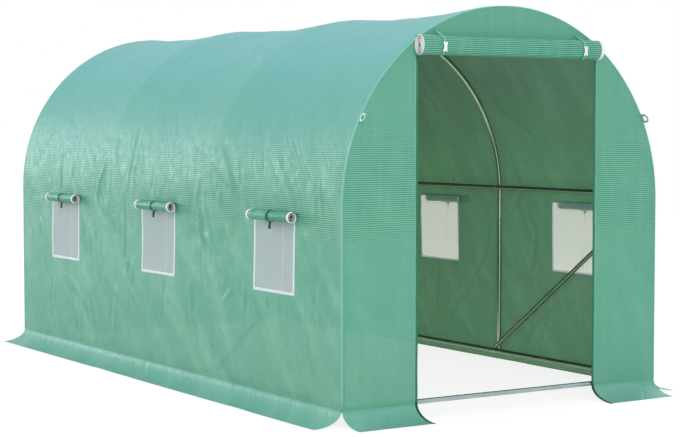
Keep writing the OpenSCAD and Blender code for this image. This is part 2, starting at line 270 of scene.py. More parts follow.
class Parts:
    """Points, faces and UVs of several solids that end up in one mesh, each with its faces outwards."""

    def __init__(self):
        self.points, self.faces, self.uv, self.count = [], [], [], 0

    def add(self, points, faces, uv):
        points = np.asarray(points, float).reshape(-1, 3)
        self.points.append(points)
        self.uv.append(np.asarray(uv, float).reshape(-1, 2))
        order = 1 if signed_volume(points, faces) > 0 else -1
        self.faces += [[int(i) + self.count for i in face[::order]] for face in faces]
        self.count += len(points)

    def build(self, name, material, slot, nodes=()):
        return build(name, np.vstack(self.points), self.faces, np.vstack(self.uv), material, nodes)


def lengths_along(points):
    """Distance of each point from the first, along the line through them."""
    steps = np.linalg.norm(np.diff(points, axis=0), axis=1)
    return np.concatenate([[0], np.cumsum(steps)])


def unit(vectors):
    return vectors / np.linalg.norm(vectors, axis=1)[:, None]


def in_section(out, up):
    """Vectors as out, along and up that have nothing along."""
    return np.stack([out, np.zeros(len(out)), up], 1)


def sweep(path, section, across, up, closed=False):
    """Points, faces and UVs of a solid: a section, laid out by across and up, carried along a path."""
    path = np.asarray(path, float)
    section = np.asarray(section, float)
    across = np.broadcast_to(across, path.shape)
    up = np.broadcast_to(up, path.shape)
    points = path[:, None] + section[None, :, :1] * across[:, None] + section[None, :, 1:] * up[:, None]
    rows, cols = points.shape[:2]
    faces = grid_quads(rows, cols, None, True, True) if closed else tube_faces(rows, cols)
    uv = np.stack(np.meshgrid(lengths_along(section), lengths_along(path)), -1)
    return points, faces, uv


def oval(width, height, count):
    """Section of an oval band with full corners."""
    angle = full_turn(count)
    fullness = 0.55
    x = np.sign(np.cos(angle)) * np.abs(np.cos(angle)) ** fullness * width / 2
    y = np.sign(np.sin(angle)) * np.abs(np.sin(angle)) ** fullness * height / 2
    return np.stack([x, y], 1)


# Folds and creases of the film


def fold_height(a, b, folds):
    """Height of straight or bowed folds at the surface coordinates a and b."""
    height = np.zeros(np.broadcast(a, b).shape)
    for a0, b0, a1, b1, width, rise, bow in folds:
        length = math.hypot(a1 - a0, b1 - b0)
        ua, ub = (a1 - a0) / length, (b1 - b0) / length
        t = ((a - a0) * ua + (b - b0) * ub) / length
        side = (b - b0) * ua - (a - a0) * ub
        inside = np.clip(4 * t * (1 - t), 0, 1)
        side = side - bow * inside
        ridge = np.exp(-(side / width) ** 2)
        valley = np.exp(-((side - 1.9 * width) / (1.5 * width)) ** 2)
        height += rise * inside ** 0.7 * (ridge - 0.55 * valley)
    return height


def random_folds(count, a_range, b_range, length, width, rise, heading):
    """Folds at seeded places. heading is the range of their direction from the b axis, in radians."""
    folds = []
    for _ in range(count):
        a = rng.uniform(*a_range)
        b = rng.uniform(*b_range)
        turn = rng.uniform(*heading)
        half = rng.uniform(*length) / 2
        da, db = math.sin(turn) * half, math.cos(turn) * half
        sign = rng.choice([-1, 1])
        bow = rng.uniform(-0.06, 0.06) * half * 2
        folds.append((a - da, b - db, a + da, b + db, rng.uniform(*width), sign * rng.uniform(*rise), bow))
    return folds


def ripples(count, wave_range, height):
    """Seeded waves whose sum is a soft uneven surface."""
    waves = []
    for _ in range(count):
        wave = rng.uniform(*wave_range)
        turn = rng.uniform(0, math.pi)
        phase = rng.uniform(0, 1)
        waves.append((math.cos(turn) / wave, math.sin(turn) / wave, phase, height / math.sqrt(count)))
    return waves


def ripple_height(a, b, waves):
    total = np.zeros(np.broadcast(a, b).shape)
    for fa, fb, phase, height in waves:
        total += height * np.cos(2 * math.pi * (fa * a + fb * b + phase))
    return total


HALF_ARC = math.pi / 2 * COVER_R


def arc_of_height(z):
    """Distance round the cover from the crown to a height on the upright wall."""
    return HALF_ARC + WALL_H - z


def photo_folds(side):
    """Wall folds of the photo, which lie on the left wall. The right wall has them turned end for end."""
    folds = []
    for y0, z0, y1, z1, *shape in WALL_FOLDS:
        if side > 0:
            y0, y1 = -y0 - 0.05, -y1 - 0.05
        folds.append((y0, side * arc_of_height(z0), y1, side * arc_of_height(z1), *shape))
    return folds


def wall_folds(side):
    """The photo's folds on a wall, and smaller seeded ones."""
    arc_range = sorted((side * arc_of_height(1.25), side * arc_of_height(0.14)))
    lean = sorted((side * 0.15, side * -0.85))
    seeded = random_folds(70, (-1.9, 1.9), arc_range, (0.14, 0.5), (0.010, 0.024), (0.0010, 0.0030), lean)
    return photo_folds(side) + seeded


def roof_folds():
    """Long shallow folds over the roof, and short ones next to the front edge."""
    long = random_folds(34, (-1.9, 1.9), (-1.5, 1.5), (0.3, 0.9), (0.02, 0.05), (0.0005, 0.0014), (-0.5, 0.5))
    edge = (-1.95, -1.72)
    short = random_folds(22, edge, (-1.45, 1.45), (0.10, 0.30), (0.010, 0.020), (0.0008, 0.0020), (1.2, 1.9))
    return long + short


def front_folds(x_range):
    return random_folds(26, x_range, (0.2, 1.7), (0.12, 0.4), (0.010, 0.024), (0.0005, 0.0016), (-0.6, 0.6))


def back_folds():
    width, rise = (0.012, 0.030), (0.0008, 0.0022)
    return random_folds(60, (-0.9, 0.9), (0.2, 1.8), (0.15, 0.6), width, rise, (-0.7, 0.7))


# The seeded shapes are drawn in this order
left_folds = wall_folds(-1)
right_folds = wall_folds(1)
crown_folds = roof_folds()
film_ripples = ripples(30, (0.07, 0.24), 0.0008)
broad_ripples = ripples(14, (0.5, 1.2), 0.0022)
skirt_waves = ripples(9, (0.25, 0.9), 0.0016)
end_folds = {-1: front_folds((0.58, 0.95)) + front_folds((-0.95, -0.58)), 1: back_folds()}
end_ripples = ripples(24, (0.09, 0.4), 0.0011)
roll_waves = ripples(16, (0.05, 0.3), 0.00035)


def hoop_gap(y):
    """Distance from the nearest hoop along the tunnel, and the share of a bay that it is."""
    gap = np.min([np.abs(y - hoop) for hoop in HOOP_Y], axis=0)
    soft = np.sqrt(gap ** 2 + HOOP_BEND ** 2) - HOOP_BEND
    share = np.clip(soft / (HOOP_Y[1] - HOOP_Y[0]), 0, 0.5)
    return gap, np.where(np.abs(y) > HOOP_Y[3], 0, share)


def clear_of_windows(y, height):
    """0 on the windows and their borders, 1 away from them."""
    up = np.abs(height - NET_SILL - NET_H / 2) - NET_H / 2 - BORDER_W
    along = np.min([np.abs(y - middle) for middle in WINDOW_Y], axis=0) - NET_W / 2 - BORDER_W
    return ease(0.004, 0.07, np.maximum(up, along))


def film_offset(arc, y):
    """How far the film stands out from its nominal section, at a distance round from the crown and at y."""
    arc = np.asarray(arc, float)
    y = np.asarray(y, float)
    gap, share = hoop_gap(y)
    rise = np.maximum(0, (HALF_ARC - np.abs(arc)) / COVER_R)
    over = ease(0, 1, np.minimum(1, np.sin(np.minimum(rise, math.pi / 2)) / math.sin(SAG_FULL_ANGLE)))
    height = WALL_H - (np.abs(arc) - HALF_ARC)
    weight = WALL_SAG_SHARE * ease(0.40, WALL_H, height) + (1 - WALL_SAG_SHARE) * over
    offset = -ROOF_SAG * weight * 4 * share * (1 - share)
    creases = FOLD_GAIN * (fold_height(y, arc, left_folds) + fold_height(y, arc, right_folds))
    creases += FOLD_GAIN * fold_height(y, arc, INNER_FOLDS)
    creases += fold_height(y, arc, crown_folds) + ripple_height(y, arc, film_ripples)
    creases = creases * clear_of_windows(y, height) + ripple_height(y, arc, broad_ripples)
    held = ease(0, 0.05, FILM_END_Y - np.abs(y)) * ease(0.075, 0.15, height)
    # The film never sinks into a hoop
    lowest = -(0.003 + 0.8 * np.maximum(gap - 0.010, 0))
    return np.maximum(offset + creases * held, lowest)


def wall_point(side, y, z, out=0.0):
    """Point on the film of an upright wall, moved outwards."""
    arc = side * arc_of_height(np.asarray(z, float))
    x = side * (COVER_R + film_offset(arc, y) + out)
    return np.stack(np.broadcast_arrays(x, y, z), -1)


# Materials


class Nodes:
    """Short ways to add nodes to the cleared node tree of a material or a world."""

    def __init__(self, owner):
        self.owner = owner
        owner.use_nodes = True
        self.tree = owner.node_tree
        self.tree.nodes.clear()

    def add(self, kind, inputs=None, **settings):
        """Adds a node, with its settings, and values or links for its inputs."""
        node = self.tree.nodes.new("ShaderNode" + kind)
        for key, value in settings.items():
            setattr(node, key, value)
        for key, value in (inputs or {}).items():
            if isinstance(value, bpy.types.NodeSocket):
                self.tree.links.new(value, node.inputs[key])
            else:
                node.inputs[key].default_value = value
        return node

    def out(self, kind, inputs=None, **settings):
        """First output of a new node."""
        return self.add(kind, inputs, **settings).outputs[0]

    def maths(self, operation, a, b=0.0):
        return self.out("Math", {0: a, 1: b}, operation=operation)

    def times(self, a, b):
        return self.maths("MULTIPLY", a, b)

    def plus(self, a, b):
        return self.maths("ADD", a, b)

    def minus(self, a, b):
        return self.maths("SUBTRACT", a, b)

    def larger(self, a, b):
        return self.maths("MAXIMUM", a, b)

    def remap(self, value, low, high, to_low=0.0, to_high=1.0):
        inputs = {"Value": value, "From Min": low, "From Max": high, "To Min": to_low, "To Max": to_high}
        return self.out("MapRange", inputs)

    def tint(self, share, a, b):
        """Colour a with a share of colour b."""
        return self.add("Mix", {0: share, 6: a, 7: b}, data_type="RGBA").outputs[2]

    def noise(self, place, scale, detail=3.0):
        return self.out("TexNoise", {"Vector": place, "Scale": scale, "Detail": detail})

    def stretch(self, place, scale, turn=(0, 0, 0)):
        """Place for a texture that is drawn out along turned axes."""
        return self.out("Mapping", {"Vector": place, "Rotation": turn, "Scale": scale}, vector_type="TEXTURE")

    def places(self):
        """Object coordinates, and the two UV coordinates in metres."""
        coords = self.add("TexCoord")
        parts = self.add("SeparateXYZ", {0: coords.outputs["UV"]})
        return coords.outputs["Object"], parts.outputs[0], parts.outputs[1]

    def stripes(self, along, pitch, full, gone):
        """1 on lines a pitch apart, falling to 0 between the two shares of the pitch."""
        wave = self.maths("PINGPONG", self.times(along, 1 / pitch), 0.5)
        return self.remap(wave, full, gone, 1.0, 0.0)

    def bump(self, height, distance, strength):
        return self.out("Bump", {"Height": height, "Distance": distance, "Strength": strength})

    def mix(self, share, a, b):
        """Shader a with a share of shader b."""
        return self.out("MixShader", {0: share, 1: a, 2: b})

    def seen(self):
        """1 for rays from the camera, also when mirrored or sent through glass."""
        path = self.add("LightPath")
        seen = self.larger(path.outputs["Is Camera Ray"], path.outputs["Is Glossy Ray"])
        return self.larger(seen, path.outputs["Is Transmission Ray"])

    def finish(self, shader):
        kind = "OutputWorld" if isinstance(self.owner, bpy.types.World) else "OutputMaterial"
        self.add(kind, {"Surface": shader})
        return self.owner


def new_material(name):
    return Nodes(bpy.data.materials.new(name))


# Middle range of a noise texture
MID = (0.3, 0.7)
# Range of a surface's turn to the tunnel's ends over which side film becomes end film
END_TURN = (0.5, 0.9)
INNER_TONE = srgb(130, 178, 156)
# Pale tone painted along the creases as highlight
CREASE_HIGHLIGHT_TONE = srgb(160, 214, 190)
# Tone of the painted sky sheen on the roof
SKY_SHEEN_TONE = srgb(112, 188, 198)
BAND_TONE = srgb(126, 190, 160)
# Tone of the skirt, paler and bluer with painted sky light
SKIRT_SKY_LIGHT_TONE = srgb(112, 190, 188)
INNER_SKIRT_TONE = srgb(196, 226, 206)
FILM_CLEAR = (0.80, 0.66, 0.68, 1.0)
NET_CLEAR = (0.80, 0.83, 0.70, 1.0)
NET_PITCH = 0.0021


def film_surface(nodes):
    """What a film's looks go by: places, height, and which way the surface faces."""
    place, across, along = nodes.places()
    geometry = nodes.add("NewGeometry")
    facing = nodes.add("SeparateXYZ", {0: geometry.outputs["Normal"]})
    return SimpleNamespace(
        place=place, across=across, along=along, inner=geometry.outputs["Backfacing"],
        end_wall=nodes.maths("ABSOLUTE", facing.outputs[1]), upward=facing.outputs[2],
        height=nodes.add("SeparateXYZ", {0: place}).outputs[2],
        cloud=nodes.noise(place, 2.3), fine=nodes.noise(place, 26.0, 5.0),
    )


def film_threads(nodes, at, even_ribs):
    """1 on the film's threads: ribs, with fainter threads across them."""
    ribs = nodes.stripes(at.along, THREAD_PITCH, *THREAD_EDGE)
    cross = nodes.stripes(at.across, THREAD_PITCH, *THREAD_EDGE)
    cross_share = 0.10 if even_ribs else nodes.remap(at.end_wall, *END_TURN, 0.16, 0.21)
    return nodes.plus(ribs, nodes.times(nodes.minus(cross, ribs), cross_share))


def rib_contrast(nodes, at, even_ribs):
    """How far the ribs stand out: on the outer face alone, and on a wall only in its upper part."""
    shade = nodes.remap(at.cloud, *MID, 0.75, 1.0)
    if not even_ribs:
        rising = nodes.remap(at.height, 0.80, 0.95, 0.10, 1.0)
        fading = nodes.remap(at.height, 1.28, 1.46, 1.0, 0.2)
        shade = nodes.times(shade, nodes.times(rising, fading))
    return nodes.times(shade, nodes.minus(1.0, at.inner))


def film_creases(nodes, at, threads):
    """Relief of threads, crinkle and creases, and the share of pale colour painted along the creases as
    highlight.
    """
    slant = nodes.stretch(at.place, CREASE_STRETCH, CREASE_TURN)
    # Creases lie where a noise stretched along a slant passes its middle value
    wander = nodes.maths("ABSOLUTE", nodes.minus(nodes.noise(slant, 7.5, 2.0), 0.5))
    crease = nodes.remap(wander, 0.0, 0.045)
    low_down = nodes.remap(at.height, 1.15, 1.45, CREASE_DEPTH, CREASE_DEPTH * 0.2)
    low_down = nodes.times(low_down, nodes.remap(at.end_wall, *END_TURN, 1.0, 0.35))
    deep = nodes.larger(low_down, nodes.times(at.inner, CREASE_INSIDE))
    relief = nodes.plus(nodes.times(threads, 0.08), nodes.noise(at.place, 13.0, 6.0))
    relief = nodes.plus(relief, nodes.times(crease, deep))
    # Pale streaks along the slant are painted highlight on the creases
    streak = nodes.remap(nodes.noise(slant, 9.0, 4.0), 0.45, 0.75, 0.0, CREASE_HIGHLIGHT_SHARE)
    return relief, nodes.times(streak, deep)


def film_weather(nodes, at, tone, even_ribs):
    """Colour of the film with painted sky sheen on the roof, bands, and the skirt paler and bluer with
    painted sky light.
    """
    if not even_ribs:
        # Painted sky sheen: the roof is paler and bluer where the film faces up
        sky_sheen = nodes.remap(at.upward, 0.1, 0.8, 0.0, ROOF_SKY_SHEEN)
        tone = nodes.tint(nodes.times(sky_sheen, nodes.remap(at.height, 1.15, 1.30)), tone, SKY_SHEEN_TONE)
    # Faint upright bands on the end walls
    upright = nodes.stretch(at.place, (1, 1, 9))
    band = nodes.remap(nodes.noise(upright, 24.0, 4.0), 0.42, 0.68, 0.0, 0.22)
    tone = nodes.tint(nodes.times(band, at.end_wall), tone, BAND_TONE)
    # The skirt faces up and is tinted paler and bluer: painted sky light
    on_skirt = nodes.remap(at.height, SKIRT_H, SKIRT_H - 0.02, 0.0, 0.25)
    tone = nodes.tint(on_skirt, tone, SKIRT_SKY_LIGHT_TONE)
    # Light from the ground pales the skirt's inner face
    inner_skirt = nodes.times(nodes.times(on_skirt, at.inner), 2.6)
    return nodes.tint(inner_skirt, tone, INNER_SKIRT_TONE)


def film_glow(nodes, at, glow):
    """Colour of the light that comes through, less of it high on the roof, as painted shade that darkens the
    roof inside.
    """
    dim, painted_roof_shade = ([share * part for part in glow[:3]] + [1] for share in (0.6, 0.25))
    tone = nodes.tint(nodes.remap(at.cloud, 0.32, 0.68), dim, glow)
    # Less light comes through high on the roof: painted shade inside it
    return nodes.tint(nodes.remap(at.height, 1.2, 1.7), tone, painted_roof_shade)


def film_material(name, cell, thread, glow, see_through, spread_through, even_ribs=False):
    """Green film with a grid of reinforcing threads, partly letting light through."""
    nodes = new_material(name)
    at = film_surface(nodes)
    threads = film_threads(nodes, at, even_ribs)
    # Where the ribs hardly show, the share of thread colour goes to its mean
    ribs = nodes.times(nodes.minus(threads, THREAD_MEAN), rib_contrast(nodes, at, even_ribs))
    tone = nodes.tint(nodes.plus(ribs, THREAD_MEAN), cell, thread)
    tone = nodes.tint(nodes.remap(at.fine, *MID, 0.0, 0.12), tone, thread)
    tone = nodes.tint(nodes.times(at.inner, 0.5), tone, INNER_TONE)
    relief, crease_highlight = film_creases(nodes, at, threads)
    # The creases get pale streaks of painted highlight
    tone = film_weather(nodes, at, nodes.tint(crease_highlight, tone, CREASE_HIGHLIGHT_TONE), even_ribs)
    normal = nodes.bump(relief, 0.006, 0.55)
    # The inner face is dull
    roughness = nodes.larger(nodes.remap(at.fine, *MID, 0.36, 0.54), nodes.times(at.inner, 0.9))
    face = nodes.out("BsdfPrincipled", {
        "Base Color": tone, "Roughness": roughness, "Normal": normal, "Specular IOR Level": 0.22,
    })
    light = nodes.out("BsdfTranslucent", {"Color": film_glow(nodes, at, glow), "Normal": normal})
    clear = nodes.out("BsdfTransparent", {"Color": FILM_CLEAR})
    return nodes.finish(nodes.mix(see_through, nodes.mix(spread_through, face, light), clear))


def steel_material(name, bright, patchy, flake):
    """Galvanised tube with soft spangle and a few dull patches."""
    nodes = new_material(name)
    place, _, _ = nodes.places()
    spangle = nodes.add("TexVoronoi", {"Vector": place, "Scale": 55.0}).outputs["Distance"]
    patch = nodes.noise(place, 9.0, 6.0)
    shade = nodes.tint(nodes.remap(patch, 0.35, 0.7), bright, patchy)
    face = nodes.out("BsdfPrincipled", {
        "Base Color": nodes.tint(nodes.times(spangle, 0.4), shade, flake), "Metallic": 1.0,
        "Roughness": nodes.remap(patch, *MID, 0.15, 0.24),
        "Normal": nodes.bump(nodes.noise(place, 160.0, 2.0), 0.0003, 0.25),
    })
    return nodes.finish(face)


def net_material():
    """Fine woven insect net, part open."""
    nodes = new_material("insect_net")
    place, across, along = nodes.places()
    weft = nodes.stripes(along, NET_PITCH, 0.0, 0.30)
    warp = nodes.stripes(across, NET_PITCH, 0.0, 0.30)
    seam = nodes.stripes(nodes.plus(across, NET_SEAM), 1.0, 0.0015, 0.0040)
    yarn = nodes.larger(weft, warp)
    cloud = nodes.remap(nodes.noise(place, 6.0), *MID)
    tone = nodes.tint(cloud, srgb(230, 242, 255), srgb(238, 247, 255))
    tone = nodes.tint(nodes.times(seam, 0.7), tone, srgb(246, 249, 250))
    face = nodes.out("BsdfPrincipled", {
        "Base Color": tone, "Roughness": 0.62, "Normal": nodes.bump(yarn, 0.0004, 0.5),
    })
    light = nodes.out("BsdfTranslucent", {"Color": srgb(238, 242, 236)})
    clear = nodes.out("BsdfTransparent", {"Color": NET_CLEAR})
    solid = nodes.plus(nodes.remap(yarn, 0.0, 1.0, 0.42, 0.68), nodes.times(seam, 0.12))
    return nodes.finish(nodes.mix(solid, clear, nodes.mix(0.12, face, light)))


def tape_material(name, colour, dark, weave, sheen=0.15, spread_through=0.0):
    """Woven tape with a fine twill."""
    nodes = new_material(name)
    place, across, along = nodes.places()
    twill = nodes.stripes(nodes.plus(across, along), weave, 0.0, 0.5)
    cloud = nodes.remap(nodes.noise(place, 30.0, 4.0), *MID, 0.4, 1.0)
    tone = nodes.tint(nodes.times(cloud, twill), dark, colour)
    face = nodes.out("BsdfPrincipled", {
        "Base Color": tone, "Roughness": 0.66, "Normal": nodes.bump(twill, 0.0005, 0.6),
        "Sheen Weight": sheen, "Specular IOR Level": 0.2,
    })
    if spread_through:
        face = nodes.mix(spread_through, face, nodes.out("BsdfTranslucent", {"Color": tone}))
    return nodes.finish(face)


def plastic_material():
    """Moulded white plastic."""
    nodes = new_material("white_plastic")
    place, _, _ = nodes.places()
    cloud = nodes.remap(nodes.noise(place, 40.0, 4.0), *MID)
    face = nodes.out("BsdfPrincipled", {
        "Base Color": nodes.tint(cloud, srgb(246, 248, 246), srgb(236, 239, 238)), "Roughness": 0.34,
        "Normal": nodes.bump(nodes.noise(place, 320.0), 0.0004, 0.3),
    })
    return nodes.finish(face)


def eyelet_material():
    """Bright pressed metal with fine rings of tool marks."""
    nodes = new_material("eyelet_metal")
    place, across, _ = nodes.places()
    marks = nodes.stripes(across, 0.0009, 0.0, 0.5)
    cloud = nodes.remap(nodes.noise(place, 60.0, 4.0), *MID)
    face = nodes.out("BsdfPrincipled", {
        "Base Color": nodes.tint(cloud, srgb(226, 229, 228), srgb(196, 201, 200)), "Metallic": 0.75,
        "Roughness": 0.32, "Normal": nodes.bump(marks, 0.0002, 0.3),
    })
    return nodes.finish(face)


# Films: name, colour between threads and on them, of light that comes through, and how much goes straight
# through and how much is spread
ROLL_GLOW = srgb(70, 120, 80)
FILM = film_material("film", srgb(52, 128, 101), srgb(126, 198, 174), srgb(80, 190, 82), 0.040, 0.10)
FILM_TAPE = film_material("film_seam", srgb(108, 180, 156), srgb(138, 204, 182), srgb(90, 140, 96), 0.0, 0.10)
DOOR_FILM = film_material(
    "rolled_door_film", srgb(18, 88, 64), srgb(116, 196, 168), ROLL_GLOW, 0.0, 0.04, even_ribs=True)
COVER_FILM = film_material(
    "rolled_cover_film", srgb(42, 130, 106), srgb(78, 164, 140), ROLL_GLOW, 0.0, 0.04, even_ribs=True)
# Steels: name, plain colour, colour of dull patches and of spangle
STEEL = steel_material("galvanised_steel", srgb(146, 165, 150), srgb(126, 145, 130), srgb(162, 180, 165))
# Copies of the same galvanised steel: darker on rails and braces as painted shade, paler on hoops as painted
# highlight, brighter and bluer on sill bars as painted light
SHADED_RAIL_STEEL = steel_material("steel_painted_shade", srgb(104, 124, 108), srgb(88, 108, 92), srgb(120, 138, 122))
HIGHLIT_HOOP_STEEL = steel_material("steel_painted_highlight", srgb(164, 182, 158), srgb(144, 162, 140), srgb(180, 196, 174))
LIT_SILL_STEEL = steel_material("steel_painted_light", srgb(164, 182, 186), srgb(142, 160, 164), srgb(180, 196, 200))
NET = net_material()
# Tapes: name, colour on the twill and between it, twill's spacing, sheen, and light that is spread through
WHITE_TAPE = tape_material("white_tape", srgb(249, 248, 248), srgb(234, 233, 234), 0.0022)
BORDER_TAPE = tape_material("border_tape", srgb(248, 251, 255), srgb(236, 240, 248), 0.0022, 0.1, 0.13)
TIE_TAPE = tape_material("tie_tape", srgb(22, 96, 64), srgb(8, 58, 36), 0.0018, 0.02)
TIE_CORD = tape_material("tie_cord", srgb(130, 200, 175), srgb(100, 175, 150), 0.0018)
JAMB_TAPE = tape_material("jamb_tape", srgb(62, 136, 106), srgb(44, 114, 84), 0.0026, 0.02)
# The same tape, darker over the skirt's end: painted shade
SHADED_SKIRT_TAPE = tape_material("skirt_end_tape_painted_shade", srgb(10, 86, 60), srgb(4, 62, 42), 0.0026, 0.02)
PLASTIC = plastic_material()
EYELET = eyelet_material()


# Cover


def skirt_curve():
    """Distance out, height and distance along for a skirt, from its rim up to the wall."""
    angle = np.linspace(math.pi / 2, 0, SKIRT_STEPS + 1)
    out = SKIRT_OUT * (1 - np.cos(angle))
    height = SKIRT_RIM_Z + (SKIRT_H - SKIRT_RIM_Z) * (1 - np.sin(angle))
    along = lengths_along(np.stack([out, height], 1))
    return out, height, along[-1] - along


def skirt_wave(place, share):
    """Soft lift of a skirt's rim along its length. share is 1 at the rim."""
    lift = ripple_height(place, np.zeros_like(place), skirt_waves)
    return np.maximum(0, lift) * share ** 1.5


def cover_section():
    """Rows of the cover's section from rim to rim: x, z, outward normal and distance from the crown."""
    out, height, below = skirt_curve()
    wall_z = spread((SKIRT_H, NET_SILL - CUT_BACK, NET_HEAD + CUT_BACK_HEAD, WALL_H), WALL_STEP)
    shoulder = HALF_ARC - HAUNCH_L
    haunch = spread((-HALF_ARC, -shoulder), HAUNCH_STEP)
    arc = np.concatenate([haunch, spread((-shoulder, shoulder), ROOF_STEP)[1:-1], -haunch[::-1]])
    wall_foot = arc_of_height(SKIRT_H)
    rows = []
    for o, h, b in zip(out[:-1], height[:-1], below[:-1]):
        rows.append((-COVER_R - o, h, 0.0, 0.0, -wall_foot - b))
    for z in wall_z[:-1]:
        rows.append((-COVER_R, z, -1.0, 0.0, -arc_of_height(z)))
    side_count = len(rows)
    for a in arc:
        sine, cosine = math.sin(a / COVER_R), math.cos(a / COVER_R)
        rows.append((COVER_R * sine, WALL_H + COVER_R * cosine, sine, cosine, a))
    left = np.array(rows)
    right = left[:side_count][::-1].copy()
    right[:, [0, 2, 4]] *= -1
    return np.vstack([left, right])


def tunnel_film():
    """The cover from rim to rim in one sheet, with the window openings left out."""
    rows = cover_section()
    half_opening = NET_W / 2 + CUT_BACK
    stops = [-FILM_END_Y, *HOOP_Y, FILM_END_Y]
    for middle in WINDOW_Y:
        stops += [middle - half_opening, middle + half_opening]
    y = spread(sorted(stops), WALL_STEP)
    x0, z0, nx, nz, arc = (rows[:, i:i + 1] for i in range(5))
    offset = film_offset(arc, y[None, :])
    share = np.clip((np.abs(arc) - arc_of_height(SKIRT_H)) / SKIRT_FALL, 0, 1)
    # The two sides take different stretches of the waves
    lift = skirt_wave(y[None, :] + np.sign(arc) * 3, share)
    points = np.stack(np.broadcast_arrays(x0 + nx * offset, y[None, :], z0 + nz * offset + lift), -1)
    mid_z = middles(z0[:, 0])
    upright = (np.abs(nx[1:, 0]) > 0.999) & (np.abs(nx[:-1, 0]) > 0.999)
    in_height = upright & (mid_z > NET_SILL - CUT_BACK) & (mid_z < NET_HEAD + CUT_BACK_HEAD)
    in_length = np.any([np.abs(middles(y) - middle) < half_opening for middle in WINDOW_Y], axis=0)
    keep = ~(in_height[:, None] & in_length[None, :])
    uv = np.stack(np.broadcast_arrays(y[None, :], arc), -1)
    nodes = [f"{side}_wall_{bay}_bay" for side in ("left", "right") for bay in WINDOW_NAMES]
    nodes += [f"roof_{bay}_bay" for bay in WINDOW_NAMES] + ["left_skirt", "right_skirt"]
    quads = grid_quads(len(rows), len(y), keep)[:, ::-1]
    piece = build("tunnel_film", points, quads, uv, FILM, nodes)


def end_offset(end, x, z):
    """How far an end wall's film stands out from its nominal plane."""
    creases = fold_height(x, z, end_folds[end]) + ripple_height(x, z, end_ripples)
    rim = np.where(z > WALL_H, COVER_R - np.hypot(x, z - WALL_H), COVER_R - np.abs(x))
    held = ease(0.02, 0.10, rim) * ease(0.085, 0.17, z)
    return np.maximum(creases * held, -0.0025)


# Rows of mesh points from the springing to the doorway's head, and from there to the arch
HEAD_ROWS = 54
GABLE_ROWS = 14


def end_heights(x):
    """Heights of an end wall's mesh points, row by row from the skirt's rim to the arch."""
    top = WALL_H + np.sqrt(1 - x ** 2)
    head_share = (DOOR_HEAD - WALL_H) / math.sqrt(1 - DOOR_HALF ** 2)
    head = np.where(np.abs(x) < DOOR_HALF, DOOR_HEAD, WALL_H + (top - WALL_H) * head_share)
    level = np.concatenate([skirt_curve()[1][:-1], spread((SKIRT_H, WALL_H), END_STEP)])
    rows = [np.full_like(x, z) for z in level]
    rows += [WALL_H + (head - WALL_H) * t for t in np.linspace(0, 1, HEAD_ROWS + 1)[1:]]
    rows += [head + (top - head) * t for t in np.linspace(0, 1, GABLE_ROWS + 1)[1:]]
    return np.array(rows)


def end_film(name, end, nodes, doorway):
    """An end wall with its skirt, under the arch, with the doorway left out where there is one."""
    side_turn = np.radians(np.linspace(89, math.degrees(math.asin(DOOR_HALF)), 46))
    middle = np.linspace(-DOOR_HALF, DOOR_HALF, 72)
    x = np.concatenate([-np.sin(side_turn), middle[1:-1], np.sin(side_turn)[::-1]])
    z = end_heights(x)
    out, _, below = skirt_curve()
    reach = np.zeros((len(z), 1))
    reach[:SKIRT_STEPS, 0] = out[:-1]
    fall = np.zeros((len(z), 1))
    fall[:SKIRT_STEPS, 0] = below[:-1]
    xs = np.broadcast_to(x, z.shape)
    share = np.broadcast_to(np.clip(fall / SKIRT_FALL, 0, 1), z.shape)
    # The two ends take different stretches of the waves
    lift = skirt_wave(xs + 9 * end, share)
    points = np.stack([xs, end * (END_Y + reach + end_offset(end, xs, z)), z + lift], -1)
    keep = np.ones((len(z) - 1, len(x) - 1), bool)
    if doorway:
        under_head = np.arange(len(z) - 1) < len(z) - 1 - GABLE_ROWS
        keep = ~(under_head[:, None] & (np.abs(middles(x)) < DOOR_HALF)[None, :])
    quads = grid_quads(len(z), len(x), keep)
    if end > 0:
        quads = quads[:, ::-1]
    piece = build(name, points, quads, np.stack([xs, z - fall], -1), FILM, nodes)
    area = 2 * (WALL_H - SKIRT_H) + math.pi / 2 + 2 * below[0]
    if doorway:
        area -= 2 * DOOR_HALF * (DOOR_HEAD - SKIRT_H + below[0])


# Section of the tape over a sewn edge: distance in from the end and distance out from the film
EDGE_TAPE = (
    (0.0110, 0.0002), (0.0105, 0.0008), (0.0060, 0.0012), (0.0010, 0.0012), (-0.0012, 0.0007),
    (-0.0016, -0.0008), (-0.0016, -0.0045), (-0.0009, -0.0052), (0.0005, -0.0048), (0.0005, -0.0004),
    (0.0040, -0.0003),
)


def edge_tapes():
    """Folded tape along both ends of the cover, where the roof and the end walls are sewn together."""
    straight = spread((SKIRT_H + 0.002, WALL_H), 0.05)[:-1]
    turn = np.linspace(-math.pi / 2, math.pi / 2, 121)
    x = np.concatenate([np.full(len(straight), -1.0), np.sin(turn), np.full(len(straight), 1.0)])
    z = np.concatenate([straight, WALL_H + np.cos(turn), straight[::-1]])
    normal = in_section(np.where(z < WALL_H, np.sign(x), x), np.where(z < WALL_H, 0.0, z - WALL_H))
    for name, end in (("front_edge_tape", -1), ("back_edge_tape", 1)):
        path = in_section(x, z) + end * END_Y * ALONG
        parts = Parts()
        parts.add(*sweep(path, EDGE_TAPE, -end * ALONG, normal))
        parts.build(name, FILM_TAPE, "film")


SEAM_W = 0.010
SEAM_THICK = 0.0005


def seam_strip(points_at, along):
    """Thin raised strip on a surface: points_at(along, across, out) gives its points."""
    half = SEAM_W / 2
    near, top = half * 0.92, SEAM_THICK
    rows = [(-half, 0.0003), (-near, top), (0, top * 1.15), (near, top), (half, 0.0003)]
    points = np.stack([points_at(along, offset, out) for offset, out in rows], 1)
    uv = np.stack(np.meshgrid([offset for offset, _ in rows], along), -1)
    return points, grid_quads(len(along), len(rows)), uv


